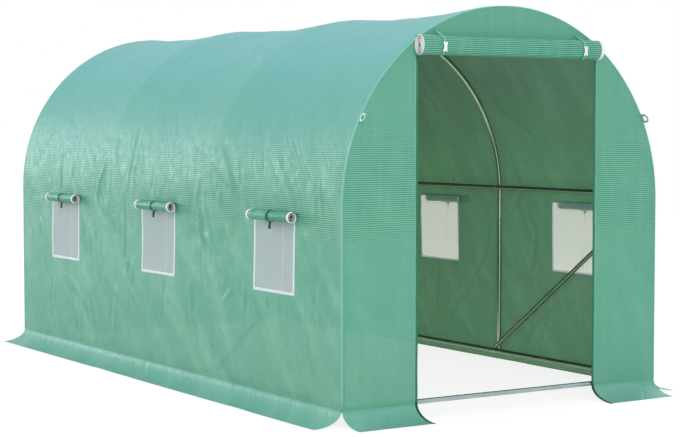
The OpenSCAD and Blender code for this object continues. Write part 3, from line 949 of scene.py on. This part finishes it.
def skirt_seams():
    """Welded seam along the crease between each wall and its skirt."""
    parts = Parts()
    crease = SKIRT_H + 0.006
    step = 0.02
    corner = 0.996
    jamb = DOOR_HALF + 0.02

    def on_side(side):
        return lambda y, offset, out: wall_point(side, y, np.full_like(y, crease + offset), out)

    def on_end(end):
        def place(x, offset, out):
            z = np.full_like(x, crease + offset)
            return np.stack([x, end * (END_Y + end_offset(end, x, z) + out), z], -1)
        return place

    for side in (-1, 1):
        parts.add(*seam_strip(on_side(side), spread((-FILM_END_Y, FILM_END_Y), step)))
    for end, x0, x1 in ((-1, -corner, -jamb), (-1, jamb, corner), (1, -corner, corner)):
        parts.add(*seam_strip(on_end(end), spread((x0, x1), step)))
    parts.build("skirt_seams", FILM, "film")


# Windows


NET_POINTS = 45


def window_net(side, side_name, index):
    """Insect net sewn behind the edge of a window opening."""
    over = 0.0015
    y = WINDOW_Y[index] + np.linspace(-NET_W / 2 - over, NET_W / 2 + over, NET_POINTS)
    z = np.linspace(NET_SILL - over, NET_HEAD + over, NET_POINTS)
    ys, zs = np.meshgrid(y, z)
    u = np.clip((ys - WINDOW_Y[index]) / (NET_W / 2), -1, 1)
    v = np.clip((zs - NET_SILL - NET_H / 2) / (NET_H / 2), -1, 1)
    belly = 0.003 * (1 - u ** 2) * (1 - v ** 2)
    pleat = 0.0003 * np.cos(2 * math.pi * ys / 0.052) * (1 - v ** 2)
    points = wall_point(side, ys, zs, -0.0008)
    points[..., 0] -= side * (belly + pleat)
    uv = np.stack([ys - WINDOW_Y[index], zs], -1)
    name = f"{side_name}_window_net_{WINDOW_NAMES[index]}"
    faces = grid_quads(NET_POINTS, NET_POINTS)
    piece = build(name, points, faces, uv, NET, [f"{side_name}_window_meshes"])


# Section of a border: distance out from the opening's edge and distance out from the film
BORDER_SECTION = (
    (BORDER_W, 0.0004), (BORDER_W * 0.95, 0.0017), (BORDER_W * 0.5, 0.0020), (0.001, 0.0017),
    (-0.0006, 0.0004), (0.0002, -0.0012),
)


def window_border(side, side_name, index):
    """White tape over the edge of a window opening, mitred at its corners and turned in over the net."""
    corners = [(-1, -1), (1, -1), (1, 1), (-1, 1)]
    places_round = []
    for (u0, v0), (u1, v1) in zip(corners, corners[1:] + corners[:1]):
        for t in np.linspace(0, 1, 25)[:-1]:
            places_round.append((u0 + (u1 - u0) * t, v0 + (v1 - v0) * t))
    u, v = np.array(places_round).T
    rows = []
    for grow, out in BORDER_SECTION:
        y = WINDOW_Y[index] + u * (NET_W / 2 + grow)
        z = NET_MIDDLE + v * (NET_H / 2 + np.where(v > 0.99, min(grow, TOP_BORDER_W), grow))
        rows.append(wall_point(side, y, z, out))
    points = np.stack(rows, 1)
    round_length = np.linspace(0, 2 * (NET_W + NET_H), len(u))
    uv = np.stack(np.meshgrid([grow for grow, _ in BORDER_SECTION], round_length), -1)
    name = f"{side_name}_window_border_{WINDOW_NAMES[index]}"
    faces = grid_quads(len(u), len(BORDER_SECTION), close_rows=True)
    build(name, points, faces, uv, BORDER_TAPE, [f"{side_name}_window_borders"])


# Rolled-up covers and door

# A roll: its half height, the share of it that is its half depth, and the gap to the wall. winding is a cycle
# of pitches, one for each turn from the outside in. hems are the white edge at each end, hem_thick its
# thickness on the outermost turn and further in, and recess how far the inner turns lie back.
WINDOW_ROLL = SimpleNamespace(
    half_h=WINDOW_ROLL_R, squash=1.0, wall_gap=WINDOW_ROLL_X - COVER_R - 0.0006,
    winding=(0.0070,), length=0.43, width=WINDOW_ROLL_L, hems=(ROLL_HEM_L, ROLL_HEM_L),
    hem_thick=(0.0044, 0.0014), recess=0.006, ties=(0.0,), wall="tunnel_film", material=COVER_FILM,
)
DOOR_ROLL = SimpleNamespace(
    half_h=DOOR_ROLL_HALF_H, squash=DOOR_ROLL_HALF_D / DOOR_ROLL_HALF_H,
    wall_gap=-DOOR_ROLL_Y - END_Y - 0.0006, winding=(0.0026, 0.0026, 0.0060), length=1.83,
    width=DOOR_ROLL_L, hems=(0.003, 0.017), hem_thick=(0.0018, 0.0018), recess=0.0,
    ties=(-DOOR_TIE_X, DOOR_TIE_X), wall="front_wall_film", material=DOOR_FILM,
)
# Radius left open in the middle of a roll
ROLL_CORE = 0.0075
# Points of a roll's line before its first turn, and the point where that turn ends
LEAD_POINTS = 2
FIRST_TURN = 54
# A tie lies in the roll's film, which is drawn in under it
TIE_DRAW = 0.955
TIE_CLEAR = 0.0012


def roll_path(roll):
    """Line of a sheet that leaves the wall, passes over the roll and winds in, as out and up."""
    step = math.radians(7.5)
    radius = roll.half_h - 0.0015
    points = [(-roll.wall_gap, radius * 0.93), (-roll.wall_gap * 0.55, radius * 0.985)]
    start = math.radians(98)
    turn = start
    run = 0.0
    while run < roll.length and radius > ROLL_CORE:
        points.append((roll.squash * radius * math.cos(turn), radius * math.sin(turn)))
        pitch = roll.winding[int((start - turn) / (2 * math.pi)) % len(roll.winding)]
        run += radius * step * (1 + roll.squash) / 2
        turn -= step
        radius -= pitch * step / (2 * math.pi)
    return np.array(points)


def roll_points(roll, path, along, film_ends):
    """Points of a rolled sheet as out, along and up, drawn in under its ties and next to its edges."""
    squeeze = np.ones((len(path), len(along)))
    for place in roll.ties:
        squeeze -= 0.05 * np.exp(-((along[None, :] - place) / 0.020) ** 2)
    near_end = np.minimum(along - film_ends[0], film_ends[1] - along)
    squeeze -= 0.06 * ease(0.008, 0.002, near_end)[None, :]
    squeeze += ripple_height(lengths_along(path)[:, None], along[None, :], roll_waves) / roll.half_h
    squeeze[:LEAD_POINTS] = 1
    return np.stack(np.broadcast_arrays(path[:, :1] * squeeze, along[None, :], path[:, 1:] * squeeze), -1)


def hem_strip(path, thick, along0, along1):
    """Solid white edge strip wound with the sheet, as out, along and up. thick is given at each point."""
    step = unit(np.gradient(path, axis=0))
    normal = in_section(-step[:, 1], step[:, 0]) * thick[:, None]
    lip = math.copysign(0.0008, along1)
    section = np.array([(0.5, along0), (0.5, along1 - lip), (0.3, along1), (-0.3, along1),
                        (-0.5, along1 - lip), (-0.5, along0)])
    if along1 < 0:
        section = section[::-1]
    return sweep(in_section(*path.T), section, normal, ALONG)


def place_window(side, index):
    """Moves points given as out, along and up to a window's roll."""
    def move(points):
        points = np.asarray(points, float)
        along = WINDOW_Y[index] - WINDOW_ROLL_SHIFT + points[..., 1]
        return np.stack([side * (WINDOW_ROLL_X + points[..., 0]), along, WINDOW_ROLL_Z + points[..., 2]], -1)
    return move


def place_door(points):
    """Moves points given as out, along and up to the door's roll."""
    points = np.asarray(points, float)
    across = DOOR_ROLL_X + points[..., 1]
    return np.stack([across, DOOR_ROLL_Y - points[..., 0], DOOR_ROLL_Z + points[..., 2]], -1)


def faces_inwards(points, middle):
    """Whether the outer turn of a roll, with its faces in plain order, faces the roll's middle."""
    corner = points[12, 4]
    across = points[12, 5] - corner
    around = points[13, 4] - corner
    outward = corner - middle
    outward = outward - across * np.dot(outward, across) / np.dot(across, across)
    return np.dot(np.cross(across, around), outward) < 0


def roll_hems(roll, path, film_ends, move):
    """White strips wound along both edges of a rolled sheet, with the inner turns set back."""
    hems = Parts()
    first_turn = ease(FIRST_TURN, FIRST_TURN - 10, np.arange(len(path)))
    thick = roll.hem_thick[1] + (roll.hem_thick[0] - roll.hem_thick[1]) * first_turn
    outer, inner = slice(LEAD_POINTS, FIRST_TURN), slice(FIRST_TURN - 1, None)
    for film_end in film_ends:
        edge = math.copysign(roll.width / 2, film_end)
        for turns, depth in ((outer, 0.0), (inner, roll.recess)):
            end = edge - math.copysign(depth, edge)
            strip, faces, uv = hem_strip(path[turns], thick[turns], film_end, end)
            hems.add(move(strip), faces, uv)
    return hems


def rolled_sheet(names, nodes, move, roll):
    """A rolled-up sheet and the white strips along its two edges, as two pieces."""
    path = roll_path(roll)
    film_ends = (roll.hems[0] - roll.width / 2, roll.width / 2 - roll.hems[1])
    along = np.linspace(film_ends[0] - 0.002, film_ends[1] + 0.002, round(roll.width / 0.0075))
    placed = move(roll_points(roll, path, along, film_ends))
    turn_length = lengths_along(path)
    quads = grid_quads(len(path), len(along))
    if faces_inwards(placed, move(np.zeros(3))):
        quads = quads[:, ::-1]
    uv = np.stack(np.meshgrid(along, turn_length), -1)
    piece = build(names[0], placed, quads, uv, roll.material, nodes[:1])
    hem = roll_hems(roll, path, film_ends, move).build(names[1], WHITE_TAPE, "white_tape", nodes[1:])


def window_roll(side, side_name, index):
    label = WINDOW_NAMES[index]
    names = (f"{side_name}_window_roll_{label}", f"{side_name}_window_roll_hem_{label}")
    nodes = [f"{side_name}_window_rolls", "window_roll_hems"]
    rolled_sheet(names, nodes, place_window(side, index), WINDOW_ROLL)


# How far a window tie's knot and tail lie out from the roll's middle
KNOT_OUT = 0.004
# Share of the knot's size from its top to its foot
KNOT_SWELL = (0.55, 0.85, 1.0, 1.05, 1.0, 0.8, 0.5)


def window_tie(side, side_name, index):
    """Tape round a rolled window cover, knotted underneath, with its tail hanging down."""
    move = place_window(side, index)
    parts = Parts()
    angle = full_turn(60)
    outward = in_section(np.cos(angle), np.sin(angle))
    ring = outward * (WINDOW_ROLL_R * TIE_DRAW + TIE_CLEAR)
    points, faces, uv = sweep(ring, oval(0.0017, 0.011, 12), outward, ALONG, closed=True)
    parts.add(move(points), faces, uv)
    count = len(KNOT_SWELL)
    knot = in_section(np.full(count, KNOT_OUT), np.linspace(-0.0265, -0.0385, count))
    points, faces, uv = sweep(knot, oval(0.010, 0.015, 14), np.array([1.0, 0, 0]), ALONG)
    points = knot[:, None] + (points - knot[:, None]) * np.array(KNOT_SWELL)[:, None, None]
    parts.add(move(points), faces, uv)
    t = np.linspace(0, 1, 14)
    tail = np.stack([KNOT_OUT + 0.002 * t, 0.003 * np.sin(t * 3), -0.030 - 0.034 * t], 1)
    half_turned = math.sqrt(0.5)
    thin, wide = np.array([half_turned, -half_turned, 0]), np.array([half_turned, half_turned, 0])
    points, faces, uv = sweep(tail, oval(0.0016, 0.012, 10), thin, wide)
    parts.add(move(points), faces, uv)
    parts.build(f"{side_name}_window_tie_{WINDOW_NAMES[index]}", TIE_TAPE, "tie_tape", ["window_ties"])


# Door


def door_roll():
    names = ("door_roll_film", "door_roll_edges")
    rolled_sheet(names, ["door_roll", "door_roll_hems"], place_door, DOOR_ROLL)


def tie_loop(radius, squash, anchor, count):
    """Closed line from an anchor round an oval at the origin and back, as out and up."""
    anchor = np.array([anchor[0] / squash, anchor[1]])
    distance = math.hypot(*anchor)
    heading = math.atan2(anchor[1], anchor[0])
    opening = math.acos(radius / distance)
    angles = np.linspace(heading - opening, heading + opening - 2 * math.pi, count)
    circle = np.stack([radius * np.cos(angles), radius * np.sin(angles)], 1)
    line = np.linspace(circle[-1], anchor, 9)[1:]
    back = np.linspace(anchor, circle[0], 9)[1:-1]
    return np.vstack([circle, line, back]) * np.array([squash, 1])


def door_ties():
    """Cord loops that hold the rolled door under their sewn ends on the gable."""
    parts = Parts()
    radius = DOOR_ROLL_HALF_H * TIE_DRAW + TIE_CLEAR
    anchor = (DOOR_ROLL_Y + END_Y + 0.0025, DOOR_TIE_TOP - DOOR_ROLL_Z)
    loop = tie_loop(radius, DOOR_ROLL.squash, anchor, 64)
    step = unit(np.roll(loop, -1, axis=0) - np.roll(loop, 1, axis=0))
    normal = in_section(-step[:, 1], step[:, 0])
    for place in DOOR_ROLL.ties:
        points, faces, uv = sweep(in_section(*loop.T), oval(0.0050, 0.0130, 12), normal, ALONG, closed=True)
        parts.add(place_door(points + place * ALONG), faces, uv)
    parts.build("door_tie_cords", TIE_CORD, "tie_tape", ["door_ties"])


CLIP_DROP = 0.008
CLIP_HALF_H = 0.024
# Right upper quarter of a clip with a fork at each end and a waist, as across and up
CLIP_QUARTER = (
    (0.0, 0.0172), (0.0022, 0.0176), (0.0034, 0.0190), (0.0040, 0.0230), (0.0060, 0.0240), (0.0106, 0.0240),
    (0.0125, 0.0222), (0.0122, 0.0165), (0.0098, 0.0105), (0.0088, 0.0030),
)
# Layers of a clip: distance out, and size
CLIP_LAYERS = ((0.0, 0.90), (0.0006, 1.0), (0.0030, 1.0), (0.0038, 0.86))


def clip_outline():
    right = [*CLIP_QUARTER, *((x, -z) for x, z in CLIP_QUARTER[::-1])]
    left = [(-x, z) for x, z in right[::-1]][1:-1]
    return np.array(right + left)


def door_clips():
    """White plastic clips on the door ties, a little curved round the roll."""
    outline = clip_outline()
    parts = Parts()
    for place in DOOR_ROLL.ties:
        rows = []
        for out, scale in CLIP_LAYERS:
            u = outline[:, 0] * scale
            w = outline[:, 1] * (1 - (1 - scale) * 0.5)
            bend = 0.0035 * ((w - CLIP_DROP) / CLIP_HALF_H) ** 2
            rows.append(np.stack([DOOR_ROLL_HALF_D + TIE_CLEAR + out - bend, place + u, w - CLIP_DROP], 1))
        points = np.stack(rows, 0)
        parts.add(place_door(points), tube_faces(*points.shape[:2]), points[..., 1:])
    parts.build("door_clips", PLASTIC, "white_plastic", ["door_tie_clips"])


# Sections at a jamb: distance from the doorway and distance out from the film
JAMB_FOLD = ((0.0200, 0.0003), (0.0195, 0.0012), (0.0170, 0.0017), (0.0140, 0.0014), (0.0138, 0.0003))
JAMB_BAND = (
    (0.0140, 0.0003), (0.0138, 0.0014), (0.0080, 0.0019), (0.0015, 0.0016), (0.0, 0.0006), (0.0, -0.0010),
    (0.0015, -0.0014), (0.0130, -0.0010),
)
# Where the film's height is taken for a hem to clear it
JAMB_PROBES = (0.0, 0.007, 0.014, 0.02)


def jamb_hems():
    """Folded hem along each jamb, and the dark binding that runs down it and over the end of the skirt,
    darker there with painted shade.
    """
    hem, binding, skirt_binding = Parts(), Parts(), Parts()
    z = spread((SKIRT_H, DOOR_ROLL_Z - DOOR_ROLL_HALF_H), 0.02)
    out, height, _ = skirt_curve()
    reach = np.concatenate([out[:-1], np.zeros(len(z))])
    rise = np.concatenate([height[:-1], z])
    step = unit(np.gradient(np.stack([reach, rise], 1), axis=0))
    lift = np.stack([np.zeros(len(rise)), -step[:, 1], -step[:, 0]], 1)
    for side in (-1, 1):
        outward = np.array([side, 0, 0.0])
        x = np.full_like(z, side * DOOR_HALF)
        film_out = np.max([end_offset(-1, x + side * probe, z) for probe in JAMB_PROBES], axis=0)
        hem.add(*sweep(np.stack([x, -END_Y - film_out, z], 1), JAMB_FOLD, outward, -ALONG))
        over_film = reach + np.concatenate([np.zeros(SKIRT_STEPS), film_out])
        path = np.stack([np.full_like(rise, side * DOOR_HALF), -END_Y - over_film, rise], 1)
        for parts, run in ((skirt_binding, slice(0, SKIRT_STEPS + 1)), (binding, slice(SKIRT_STEPS, None))):
            parts.add(*sweep(path[run], JAMB_BAND, outward, lift[run]))
    hem.build("door_jamb_folds", FILM_TAPE, "film", ["door_jamb_hems"])
    binding.build("door_jamb_bindings", JAMB_TAPE, "tie_tape", ["door_jamb_hems"])
    skirt_binding.build("skirt_end_bindings", SHADED_SKIRT_TAPE, "tie_tape", ["door_jamb_hems"])


# Eyelets and bolts


TAB_HALF = 0.025
TAB_ROOT = 0.022
TAB_HALF_THICK = 0.0016
# An eyelet's middle lies in the middle of the film's thickness
EYELET_R = COVER_R - 0.0015
# Section of an eyelet: radius, and height from the film's middle
EYELET_PROFILE = np.array([
    (EYELET_BORE_R, 0.0), (EYELET_BORE_R + 0.0002, 0.0018), (EYELET_BORE_R + 0.0014, 0.0030),
    (EYELET_BORE_R + 0.0036, 0.0033), (EYELET_FLANGE_R - 0.0022, 0.0026), (EYELET_FLANGE_R - 0.0010, 0.0019),
    (EYELET_BORE_R + 0.0016, 0.0017), (EYELET_BORE_R + 0.0014, -0.0017), (EYELET_FLANGE_R - 0.0010, -0.0019),
    (EYELET_FLANGE_R - 0.0022, -0.0026), (EYELET_BORE_R + 0.0036, -0.0030), (EYELET_BORE_R + 0.0006, -0.0024),
])


def eyelet_frame(side):
    """Origin and axes of an eyelet: round the arch, along the tunnel and out from the film."""
    out = np.array([side * math.cos(EYELET_ANGLE), 0, math.sin(EYELET_ANGLE)])
    around = np.array([-side * math.sin(EYELET_ANGLE), 0, math.cos(EYELET_ANGLE)])
    return np.array([0, EYELET_Y, WALL_H]) + out * EYELET_R, around, ALONG, out


def guy_tabs():
    """Doubled tongues of film that carry the eyelets."""
    parts = Parts()
    angle = np.linspace(math.pi, 2 * math.pi, 25)[::-1]
    tip = [(TAB_HALF * math.cos(a), TAB_HALF * math.sin(a)) for a in angle]
    outline = np.array([(TAB_HALF, TAB_ROOT), *tip, (-TAB_HALF, TAB_ROOT)])
    turn = np.arctan2(outline[:, 1], outline[:, 0])
    inner = (EYELET_BORE_R + 0.0018) * np.stack([np.cos(turn), np.sin(turn)], 1)
    face = outline * 0.97
    thick = TAB_HALF_THICK
    layers = [(face, thick), (inner, thick), (inner, -thick), (face, -thick), (outline, 0.0)]
    for side in (-1, 1):
        origin, around, along, out = eyelet_frame(side)
        rows = [origin + ring[:, :1] * around + ring[:, 1:] * along + lift * out for ring, lift in layers]
        uv = np.stack([ring for ring, _ in layers], 0)
        parts.add(np.stack(rows, 0), grid_quads(len(layers), len(outline), None, True, True), uv)
    parts.build("guy_tab_tongues", FILM_TAPE, "film", ["guy_tabs"])


def guy_eyelets():
    """Pressed eyelets with a rounded flange on both faces."""
    angle = full_turn(48)
    parts = Parts()
    for side in (-1, 1):
        origin, around, along, out = eyelet_frame(side)
        rows = []
        for a in angle:
            direction = around * math.cos(a) + along * math.sin(a)
            rows.append(origin + EYELET_PROFILE[:, :1] * direction + EYELET_PROFILE[:, 1:] * out)
        uv = np.stack(np.meshgrid(EYELET_PROFILE[:, 0], angle * EYELET_BORE_R), -1)
        parts.add(np.stack(rows, 0), grid_quads(len(angle), len(EYELET_PROFILE), None, True, True), uv)
    parts.build("guy_eyelet_rings", EYELET, "eyelet_metal", ["guy_eyelets"])


# Rings of a bolt on its washer: radius, height, and whether the ring is six-sided
BOLT_RINGS = (
    (0.0085, 0.0, False), (0.0085, 0.0012, False), (0.0064, 0.0014, True), (0.0064, 0.0046, True),
    (0.0056, 0.0056, False), (0.0020, 0.0058, False),
)


def bolt(parts, place, axis):
    """Hex bolt head on a washer, pointing along an axis."""
    axis = np.asarray(axis, float) / np.linalg.norm(axis)
    helper = np.array([0, 0, 1.0]) if abs(axis[2]) < 0.9 else np.array([1.0, 0, 0])
    u = np.cross(axis, helper)
    u /= np.linalg.norm(u)
    v = np.cross(axis, u)
    turn = full_turn(24)
    sixth = math.pi / 6
    hexagon = np.cos(sixth) / np.cos((turn + sixth) % (2 * sixth) - sixth)
    rows = []
    for radius, height, six_sided in BOLT_RINGS:
        r = radius * (hexagon if six_sided else 1.0)
        rows.append(place + axis * height + np.outer(np.cos(turn) * r, u) + np.outer(np.sin(turn) * r, v))
    points = np.stack(rows, 0)
    uv = np.broadcast_to(np.stack([np.cos(turn), np.sin(turn)], 1) * 0.006, (*points.shape[:2], 2))
    parts.add(points, tube_faces(*points.shape[:2]), uv)


def frame_bolts():
    """Bolt heads where the rails and braces meet the hoops."""
    parts = Parts()
    inner_x = RAIL_R - TUBE_R
    for y in HOOP_Y:
        bolt(parts, np.array([0, y, WALL_H + inner_x]), (0, 0, -1))
        for side in (-1, 1):
            bolt(parts, np.array([side * (SIDE_RAIL_X - TUBE_R), y, SIDE_RAIL_Z]), (-side, 0, 0))
            if abs(y) < 1:
                bolt(parts, np.array([side * inner_x, y, BASE_RAIL_Z]), (-side, 0, 0))
    along, up = BRACE_BOLT
    for side in (-1, 1):
        for end in (-1, 1):
            low = np.array([side * inner_x, end * (HOOP_Y[2] + along), BRACE_Z[0] + up])
            high = np.array([side * inner_x, end * (HOOP_Y[3] - along), BRACE_Z[1] - up])
            bolt(parts, low, (-side, 0, 0))
            bolt(parts, high, (-side, 0, 0))
    parts.build("frame_bolts", STEEL, "steel")


def tube_steel(name):
    """Steel of a frame tube: sill bars brighter with painted light, hoops paler with painted highlight, rails
    and braces darker with painted shade.
    """
    if "sill" in name:
        return LIT_SILL_STEEL
    if "rail" in name or "braces" in name:
        return SHADED_RAIL_STEEL
    return HIGHLIT_HOOP_STEEL


def dress_tubes():
    for name, node in frame["nodes"].items():
        if any(word in name for word in ("arch", "rail", "legs", "bar", "braces")):
            node.data.materials.clear()
            node.data.materials.append(tube_steel(name))


# Stage


FLOOR_SIZE = 120
# Just under the ground line
FLOOR_Z = -0.0005


def floor():
    """Pale floor that keeps a faint shadow where the camera sees it."""
    bpy.ops.mesh.primitive_plane_add(size=FLOOR_SIZE, location=(0, 0, FLOOR_Z))
    piece = bpy.context.object
    piece.name = "floor"
    nodes = new_material("floor")
    faint = nodes.out("BsdfDiffuse", {"Color": (0.25, 0.25, 0.25, 1)})
    bright = nodes.out("Emission", {"Color": (1, 1, 1, 1), "Strength": 0.83})
    shown = nodes.out("AddShader", {0: faint, 1: bright})
    plain = nodes.out("BsdfDiffuse", {"Color": (0.80, 0.79, 0.74, 1)})
    piece.data.materials.append(nodes.finish(nodes.mix(nodes.seen(), plain, shown)))


def world():
    """Soft light all round, and plain white behind the object."""
    studio = bpy.data.worlds.new("studio")
    bpy.context.scene.world = studio
    nodes = Nodes(studio)
    white = nodes.out("Background", {"Color": (1, 1, 1, 1), "Strength": 1.0})
    light = nodes.out("Background", {"Color": (0.97, 1.0, 1.0, 1), "Strength": 0.70})
    nodes.finish(nodes.mix(nodes.seen(), light, white))


def lamp(name, place, target, size, power, colour):
    """Large soft lamp that faces a point."""
    data = bpy.data.lights.new(name, "AREA")
    data.size = size
    data.energy = power
    data.color = colour
    piece = bpy.data.objects.new(name, data)
    piece.location = place
    aim = np.array(target) - np.array(place)
    tilt = math.atan2(math.hypot(aim[0], aim[1]), -aim[2])
    piece.rotation_euler = (tilt, 0, math.atan2(aim[1], aim[0]) - math.pi / 2)
    bpy.context.scene.collection.objects.link(piece)


def lamps():
    lamp("key", (-7.0, -3.0, 5.0), (0, 0, 1.2), 4.0, 70, (1.0, 0.99, 0.94))
    lamp("front", (-2.5, -9.5, 3.2), (0, -2, 1.0), 6.0, 248, (0.97, 0.99, 1.07))
    lamp("rim", (-5.6, 10.5, 3.2), (-0.6, 0, 1.0), 4.0, 460, (0.88, 0.93, 1.0))
    lamp("right", (8.5, 1.0, 2.2), (0.8, 0, 1.0), 4.0, 420, (1.0, 1.0, 0.96))
    lamp("sky", (0.0, 1.0, 8.0), (0, 0, 1.2), 8.0, 205, (0.70, 0.80, 1.0))


PHOTO_W = 680
# The photo's focal length in its pixels, and the camera's place, tilt and heading, fitted to its corners
FOCAL = 1692.43
CAMERA_PLACE = (-5.3125, -8.7734, 1.4305)
CAMERA_TILT = 0.0533
CAMERA_HEADING = -0.5658


def camera():
    data = bpy.data.cameras.new("camera")
    data.sensor_fit = "HORIZONTAL"
    data.sensor_width = 36
    data.lens = FOCAL / PHOTO_W * data.sensor_width
    data.clip_end = 400
    piece = bpy.data.objects.new("camera", data)
    piece.location = CAMERA_PLACE
    piece.rotation_euler = (math.pi / 2 - CAMERA_TILT, 0, CAMERA_HEADING)
    bpy.context.scene.collection.objects.link(piece)
    bpy.context.scene.camera = piece


bpy.context.scene.view_settings.view_transform = "Standard"
camera()
floor()
world()
lamps()
dress_tubes()
tunnel_film()
front_nodes = ["front_wall_left", "front_wall_right", "front_wall_top", "front_skirts"]
end_film("front_wall_film", -1, front_nodes, True)
end_film("back_wall_film", 1, ["back_wall", "back_skirt"], False)
edge_tapes()
skirt_seams()
for wall_side, wall_name in ((-1, "left"), (1, "right")):
    for window in range(len(WINDOW_Y)):
        window_net(wall_side, wall_name, window)
        window_border(wall_side, wall_name, window)
        window_roll(wall_side, wall_name, window)
        window_tie(wall_side, wall_name, window)
door_roll()
door_ties()
door_clips()
jamb_hems()
guy_tabs()
guy_eyelets()
frame_bolts()
